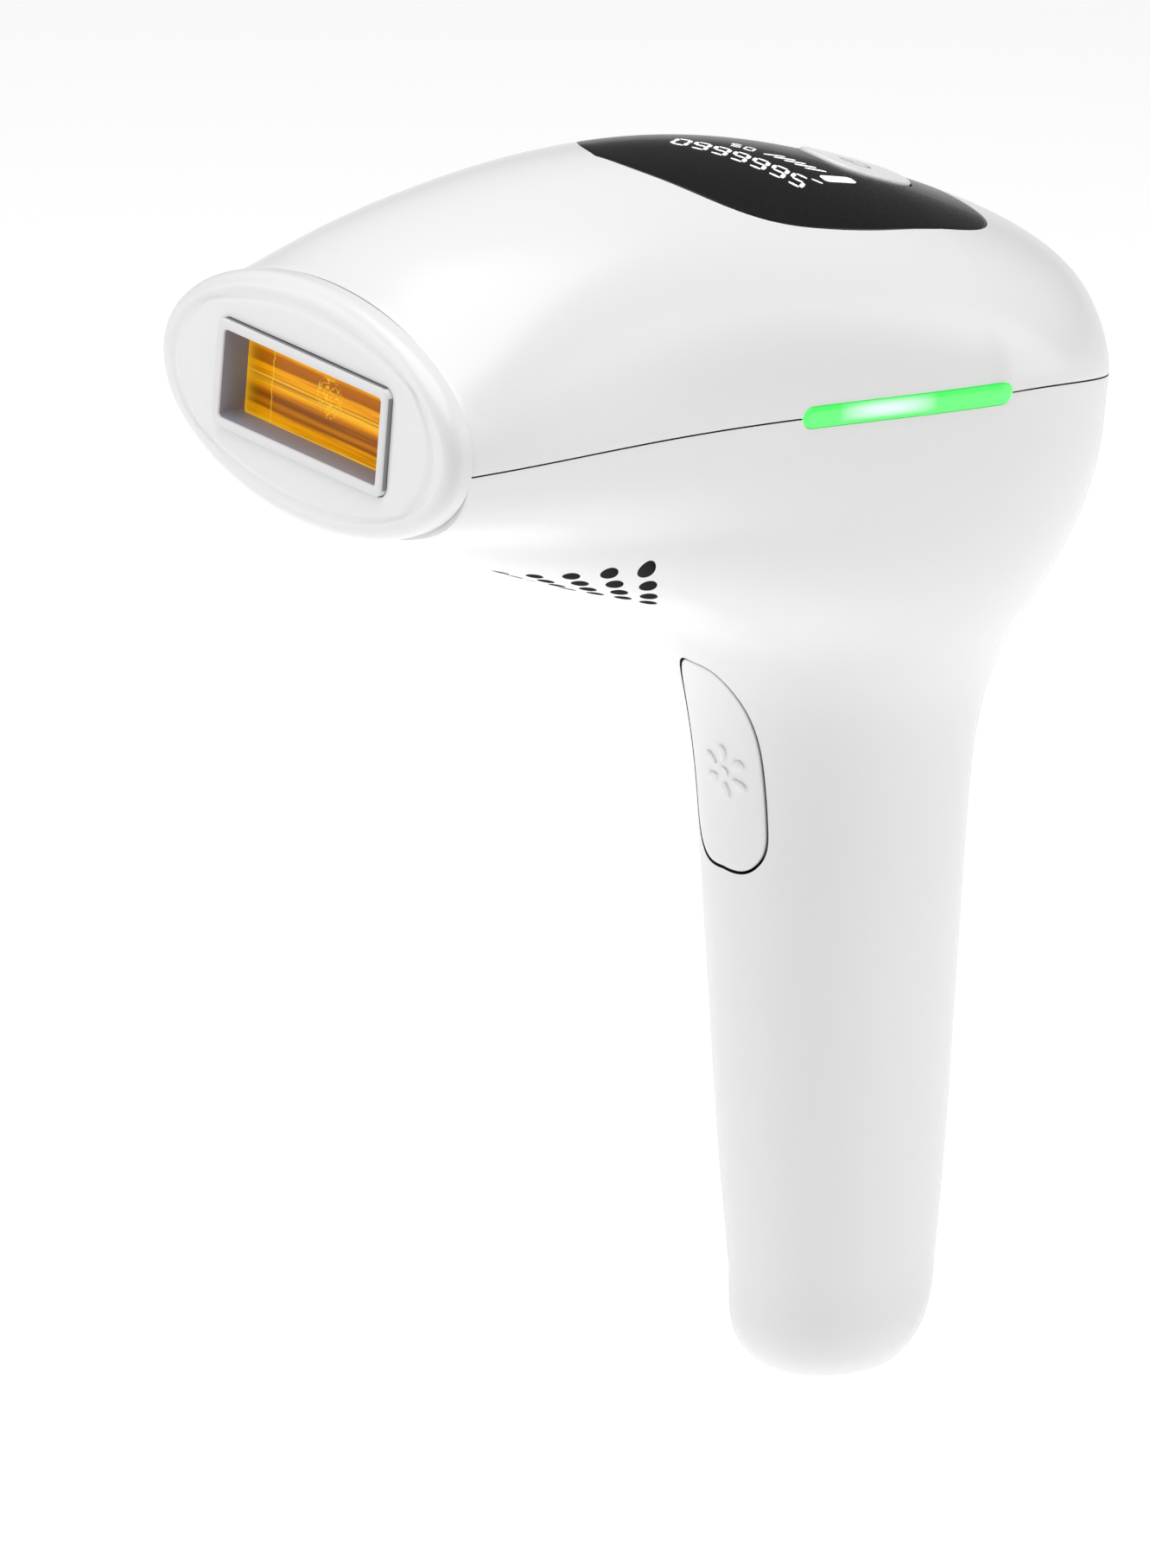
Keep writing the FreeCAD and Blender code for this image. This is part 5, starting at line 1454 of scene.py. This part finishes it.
@dataclass(frozen=True)
class Housing:
    """The two moulded shells: the upper cover, and the lower body with the grip."""

    wall: float = 2.0
    seam_gap: float = 0.11
    joint_gap: float = 0.12
    around: int = 144
    edge: float = 0.22
    mouth_radius: float = 4.2
    mouth_height: float = 19.0
    mouth_span: Point = (8.9, 30.0)
    joint_rim: float = 2.5

    def thicken(self, item: bpy.types.Object) -> None:
        """Gives an open skin its wall, near black inside as painted shade, and softens the wall's edges."""
        item.data.materials.append(Finish.HOUSING.get())
        item.data.materials.append(Finish.INNER.get())
        wall = item.modifiers.new("Wall", "SOLIDIFY")
        # The inner face and the cut edges take the near-black finish: painted shade in the seams.
        wall.material_offset = 1
        wall.material_offset_rim = 1
        wall.thickness = self.wall * MM
        wall.offset = -1.0
        wall.use_even_offset = False
        soften = item.modifiers.new("Soften", "BEVEL")
        soften.width = self.edge * MM
        soften.segments = 2
        soften.limit_method = "ANGLE"
        soften.angle_limit = math.radians(55)
        settle_modifiers(item)
        tidy_mesh(item)

    def face_away(self, item: bpy.types.Object, axis: Callable[[Vector], Vector]) -> None:
        """Turns the faces of an open skin away from an inner axis."""
        work = bmesh.new()
        work.from_mesh(item.data)
        bmesh.ops.remove_doubles(work, verts=work.verts, dist=0.003 * MM)
        bmesh.ops.recalc_face_normals(work, faces=work.faces)
        work.faces.ensure_lookup_table()
        votes = 0.0
        for face in work.faces:
            centre = face.calc_center_median()
            votes += face.calc_area() * face.normal.dot((centre - axis(centre)).normalized())
        if votes < 0:
            bmesh.ops.reverse_faces(work, faces=work.faces)
        work.to_mesh(item.data)
        work.free()

    def trim(self, item: bpy.types.Object, point: Vector, normal: Vector) -> None:
        """Cuts off what lies past a plane."""
        work = bmesh.new()
        work.from_mesh(item.data)
        bmesh.ops.bisect_plane(work, geom=work.verts[:] + work.edges[:] + work.faces[:], dist=1e-7,
                               plane_co=point * MM, plane_no=normal, clear_outer=True)
        work.to_mesh(item.data)
        work.free()

    def build_cover(self) -> bpy.types.Object:
        """The upper cover's outer skin and wall."""
        arcs = 64
        before, behind = 70, 40
        length = FORM.nose - self.joint_gap
        along = [-FORM.nose + self.joint_gap + length * i / before for i in range(before)]
        along += [FORM.back * math.sin(0.5 * math.pi * i / behind) for i in range(behind + 1)]
        points, faces = [], []
        for u in along:
            half, top = FORM.head_half(u), FORM.head_top(u)
            for i in range(arcs + 1):
                turn = math.pi * i / arcs
                w = max(top * math.sin(turn), 0.0) + self.seam_gap * (1 - math.sin(turn)) * min(1.0, half / 4)
                points.append(FORM.settle(HEAD.world(half * math.cos(turn), u, w)))
        for r in range(len(along) - 1):
            here, there = r * (arcs + 1), (r + 1) * (arcs + 1)
            faces += [(here + i, here + i + 1, there + i + 1, there + i) for i in range(arcs)]
        cover = make_mesh("upper_shell", points, faces)
        self.face_away(cover, lambda centre: Vector((0, centre.y, HEAD.seam_height * MM)))
        self.thicken(cover)
        return cover

    def build_body(self) -> bpy.types.Object:
        """The lower body's outer skin and wall."""
        seam = HEAD.seam_height - self.seam_gap
        heights = [FORM.foot_round[1] * (1 - math.cos(0.5 * math.pi * i / 18)) for i in range(18)]
        rise = 1.25
        steps = int((seam - heights[-1]) / rise)
        start = FORM.foot_round[1]
        heights += [start + (seam - start) * i / steps for i in range(steps + 1)]
        rings = [FORM.lower_ring(height, self.around) for height in heights]
        foot = [Vector((0, 0, 0))] * self.around
        shrunk = [Vector((point.x * 0.5, point.y * 0.5, 0)) for point in rings[0]]
        count = self.around
        all_rings = [foot, shrunk] + rings
        points = [point for ring in all_rings for point in ring]
        faces = []
        for r in range(len(all_rings) - 1):
            faces += band(r * count, (r + 1) * count, count)
        body = make_mesh("lower_shell", points, faces)
        self.trim(body, HEAD.world(0, -FORM.nose + self.joint_gap, 0),
                  HEAD.world(0, -1, 0) - HEAD.world(0, 0, 0))
        centre_line = HEAD.seam_height * MM
        self.face_away(body, lambda centre: Vector(
            (0, min(0.0, 0.4 * centre.y), min(centre.z + 0.004, centre_line))))
        self.thicken(body)
        return body

    def build(self, bars: LightBars, display: Display, trigger: Trigger, vents: VentHoles) -> None:
        """Makes both shells, opens them for what sits in them and dresses them."""
        cover = self.build_cover()
        carve(cover, [display.cutter(), bars.cutter(1), bars.cutter(-1)])
        body = self.build_body()
        mouth = [[Vector((x, y, self.mouth_height + z)) for x, z in circle(self.mouth_radius, 40)]
                 for y in self.mouth_span]
        carve(body, [vents.cutter(), trigger.cutter(), bars.cutter(1), bars.cutter(-1),
                     ring_mesh("mouth_cutter", mouth, caps=True)])
        # The rim that faces the cap keeps the outer white.
        for face in [face for item in (cover, body) for face in item.data.polygons]:
            if HEAD.local(face.center / MM).y < self.joint_rim - FORM.nose and face.normal.y < -0.3:
                face.material_index = 0
        for item, node in ((cover, "upper_cover"), (body, "lower_body")):
            finish_piece(item, Finish.HOUSING, "housing", (node,))


# ---------------------------------------------------------------- treatment head
def nose_point(x: float, up: float, out: float) -> Vector:
    """A point of the treatment head: across, up from its axis and out from the joint."""
    return HEAD.world(x, -FORM.nose - out, NOSE_RISE + up)


@dataclass(frozen=True)
class TreatmentHead:
    """The oval pull-off head with its framed window, and the amber glass behind it."""

    half_width: float = 32.3
    half_height: float = 17.05
    depth: float = 4.0
    rounding: float = 2.3
    gap: float = 0.12
    dish: float = 0.32
    groove: float = 0.84
    groove_width: float = 0.09
    frame_half: Point = (18.6, 7.7)
    opening_half: Point = (17.15, 6.25)
    frame_gap: float = 0.14
    proud: float = 0.8
    pane_half: Point = (18.3, 7.4)
    peg_across: float = 24.5

    def cap(self) -> bpy.types.Object:
        """The oval cap: a dished face with a large soft rounding and a rectangular opening."""
        opening = rounded_rectangle(self.frame_half[0] + self.frame_gap, self.frame_half[1] + self.frame_gap,
                                    1.64)
        turns = [math.atan2(y / self.half_height, x / self.half_width) for x, y in opening]

        def oval(inset: float) -> list[Point]:
            """The cap's oval, moved inwards."""
            return [((self.half_width - inset) * math.cos(t), (self.half_height - inset) * math.sin(t))
                    for t in turns]

        def between(inner: Sequence[Point], outer: Sequence[Point], share: float) -> list[Point]:
            """A ring part of the way between two rings."""
            return [(a[0] + (b[0] - a[0]) * share, a[1] + (b[1] - a[1]) * share)
                    for a, b in zip(inner, outer)]

        flat = oval(self.rounding)
        lip = 0.3
        layers = [(opening, self.gap), (opening, self.depth - lip)]
        layers.append((grown(opening, (0, 0), lip * 0.4), self.depth - lip * 0.25))
        steps = 24
        for k in range(1, steps + 1):
            share = k / steps
            sag = self.dish * math.exp(-((share - self.groove) / self.groove_width) ** 2)
            layers.append((between(grown(opening, (0, 0), lip), flat, share), self.depth - sag))
        arc = 14
        for k in range(1, arc + 1):
            turn = 0.5 * math.pi * k / arc
            layers.append((oval(self.rounding * (1 - math.sin(turn))),
                           self.depth - self.rounding * (1 - math.cos(turn))))
        layers.append((oval(0.0), self.gap + 0.15))
        layers.append((oval(0.15), self.gap))
        layers.append((between(opening, oval(0.15), 0.5), self.gap))
        rings = [[nose_point(x, y, out) for x, y in ring] for ring, out in layers]
        return ring_mesh("nozzle_shell", rings, closed=True)

    def pegs(self) -> bpy.types.Object:
        """The two locating pegs behind the cap, with led-in tips."""
        pegs = []
        profile = ((1.5, self.gap + 0.6), (1.5, -1.9), (1.35, -2.3), (0.9, -2.5))
        for side in (-1, 1):
            rings = [[nose_point(side * self.peg_across + x, up, out) for x, up in circle(radius, 24)]
                     for radius, out in profile]
            pegs.append(ring_mesh("peg", rings, caps=True))
        return join_meshes("nozzle_pegs", pegs)

    def window_frame(self) -> bpy.types.Object:
        """The light grey frame, with its inner walls and outer sides painted darker as shade, in a second and
        a third finish.
        """
        edge = 0.28
        front = self.depth + self.proud
        outer, inner = self.frame_half, self.opening_half
        rim: list[tuple[Point, float, float]] = [
            (outer, 1.5, 0.15), (outer, 1.5, front - edge),
            ((outer[0] - edge * 0.3, outer[1] - edge * 0.3), 1.45, front - edge * 0.3),
            ((outer[0] - edge, outer[1] - edge), 1.3, front),
            ((inner[0] + edge, inner[1] + edge), 0.75, front),
            ((inner[0] + edge * 0.3, inner[1] + edge * 0.3), 0.65, front - edge * 0.3),
            (inner, 0.6, front - edge), (inner, 0.6, 2.4), (inner, 0.6, 0.15),
        ]
        rings = [[nose_point(x, y, out) for x, y in rounded_rectangle(half[0], half[1], radius)]
                 for half, radius, out in rim]
        item = ring_mesh("window_rim", rings, closed=True)
        item.data.materials.append(Finish.RIM.get())
        item.data.materials.append(Finish.RECESS.get())
        item.data.materials.append(Finish.SIDE.get())
        # The frame's inner walls and outer sides take the darker colours: painted shade.
        for face in item.data.polygons:
            local = HEAD.local(face.center / MM)
            out = -FORM.nose - local.y
            up = abs(local.z - NOSE_RISE)
            inside = abs(local.x) < inner[0] + 0.02 and up < inner[1] + 0.02
            outside = abs(local.x) > outer[0] - 0.03 or up > outer[1] - 0.03
            if inside and out < front - edge - 0.01:
                face.material_index = 1
            elif outside and out < front - edge * 0.5:
                face.material_index = 2
        return item

    def pane(self) -> bpy.types.Object:
        """The amber glass, with ground edges."""
        width, height = self.pane_half
        bevel, thickness = 0.25, 2.0
        rings = []
        for margin, out in ((-bevel, -thickness), (0.0, bevel - thickness), (0.0, -bevel), (-bevel, 0.0)):
            outline = rounded_rectangle(width + margin, height + margin, 0.8)
            rings.append([nose_point(x, y, out) for x, y in outline])
        return ring_mesh("filter_pane", rings, caps=True)

    def build(self) -> None:
        """Makes and dresses the head, the frame and the pane."""
        finish_piece(self.cap(), Finish.CAP, "treatment_head", ("nozzle_cap",))
        finish_piece(self.pegs(), Finish.CAP, "treatment_head")
        finish_piece(self.window_frame(), Finish.RIM, "treatment_head", ("window_frame",))
        finish_piece(self.pane(), Finish.AMBER, "housing", ("filter_glass",))


# ---------------------------------------------------------------- inside
@dataclass(frozen=True)
class Inside:
    """The parts that the shells hide, in their own finishes."""

    def dress(self) -> None:
        """Gives each CAD piece its finish."""
        finishes = {
            "front_bezel": Finish.RIM, "reflector": Finish.POLISHED, "flash_tube": Finish.QUARTZ,
            "lamp_electrodes": Finish.ELECTRODE, "trigger_wire": Finish.ELECTRODE,
            "lamp_holder": Finish.HOLDER,
            "front_screws": Finish.SCREW, "heat_sink": Finish.EXTRUDED, "fan_frame": Finish.FAN,
            "fan_rotor": Finish.FAN, "main_board": Finish.BOARD, "power_board": Finish.BOARD,
            "display_module": Finish.BLACK, "power_switch": Finish.BLACK, "buzzer": Finish.BLACK,
            "transformer_core": Finish.FERRITE, "transformer_winding": Finish.COPPER,
            "board_screws": Finish.SCREW, "left_led_board": Finish.BOARD, "right_led_board": Finish.BOARD,
            "trigger_board": Finish.BOARD, "trigger_switch": Finish.BLACK, "flash_capacitor": Finish.SLEEVE,
            "power_socket": Finish.BLACK,
        }
        for node, finish in finishes.items():
            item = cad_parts[node]
            item.data.materials.clear()
            item.data.materials.append(finish.get())
            log.info("%s wears %s", node, finish.value.name)


# ---------------------------------------------------------------- studio
@dataclass(frozen=True)
class Studio:
    """A pale floor, soft light and a long lens."""

    azimuth: float = 51.3
    elevation: float = 21.5
    lens: float = 900.0
    scale: float = 8.4
    frame_height: int = 1815
    aim: tuple[float, float, float] = (-44.9, -9.7, 73.6)
    nearer: float = 50.0

    def camera(self) -> None:
        """Sets the camera where the whole object stands in the frame."""
        data = bpy.data.cameras.new("camera")
        data.lens = self.lens
        data.sensor_width = 36.0
        camera = bpy.data.objects.new("camera", data)
        bpy.context.scene.collection.objects.link(camera)
        turn, tip = math.radians(self.azimuth), math.radians(self.elevation)
        back = Vector((math.sin(turn) * math.cos(tip), -math.cos(turn) * math.cos(tip), math.sin(tip)))
        visible = self.frame_height / self.scale
        distance = self.lens / data.sensor_width * visible + self.nearer
        camera.location = (Vector(self.aim) + back * distance) * MM
        camera.rotation_mode = "QUATERNION"
        camera.rotation_quaternion = (-back).to_track_quat("-Z", "Y")
        data.clip_start, data.clip_end = 0.05, 20.0
        bpy.context.scene.camera = camera

    def floor(self) -> None:
        """A plain pale floor that fills the view."""
        half = 4000.0
        signs = ((-1, -1), (1, -1), (1, 1), (-1, 1))
        corners = [Vector((x * half, y * half, -0.05)) for x, y in signs]
        floor = make_mesh("floor", corners, [(0, 1, 2, 3)])
        shader = Shader("floor_white")
        shader.dress(Base_Color=(0.85, 0.85, 0.85, 1), Roughness=0.7, Emission_Color=(1, 1, 1, 1),
                     Emission_Strength=0.46, Specular_IOR_Level=0.0)
        floor.data.materials.append(shader.material)

    def lamp(self, name: str, place: Vector, target: Vector, width: float, height: float,
             power: float) -> None:
        """One soft box, turned to a target."""
        data = bpy.data.lights.new(name, "AREA")
        data.shape = "RECTANGLE"
        data.size, data.size_y = width * MM, height * MM
        data.energy = power
        lamp = bpy.data.objects.new(name, data)
        bpy.context.scene.collection.objects.link(lamp)
        lamp.location = place * MM
        lamp.rotation_mode = "QUATERNION"
        lamp.rotation_quaternion = (target - place).to_track_quat("-Z", "Y")

    def light(self) -> None:
        """A bright room, a large top box and a soft box on each side."""
        world = bpy.data.worlds.new("studio")
        world.use_nodes = True
        world.node_tree.nodes["Background"].inputs[0].default_value = (1, 1, 1, 1)
        world.node_tree.nodes["Background"].inputs[1].default_value = 0.12
        bpy.context.scene.world = world
        target = Vector((0, -30, 110))
        self.lamp("top_box", Vector((60, -120, 900)), target, 900, 900, 6.4)
        self.lamp("left_box", Vector((-620, -780, 300)), target, 500, 900, 2.6)
        self.lamp("right_box", Vector((620, 780, 300)), target, 500, 900, 2.4)
        bpy.context.scene.view_settings.view_transform = "Standard"
        bpy.context.scene.view_settings.exposure = 0.04

    def build(self) -> None:
        """Sets up the whole studio."""
        self.camera()
        self.floor()
        self.light()


def main() -> None:
    logging.basicConfig(level=logging.INFO, format="%(name)s: %(message)s")
    Studio().build()
    bars, display, trigger, vents = LightBars(), Display(), Trigger(), VentHoles()
    Housing().build(bars, display, trigger, vents)
    bars.build()
    display.build()
    trigger.build()
    TreatmentHead().build()
    Inside().dress()


if __name__ == "__main__":
    main()
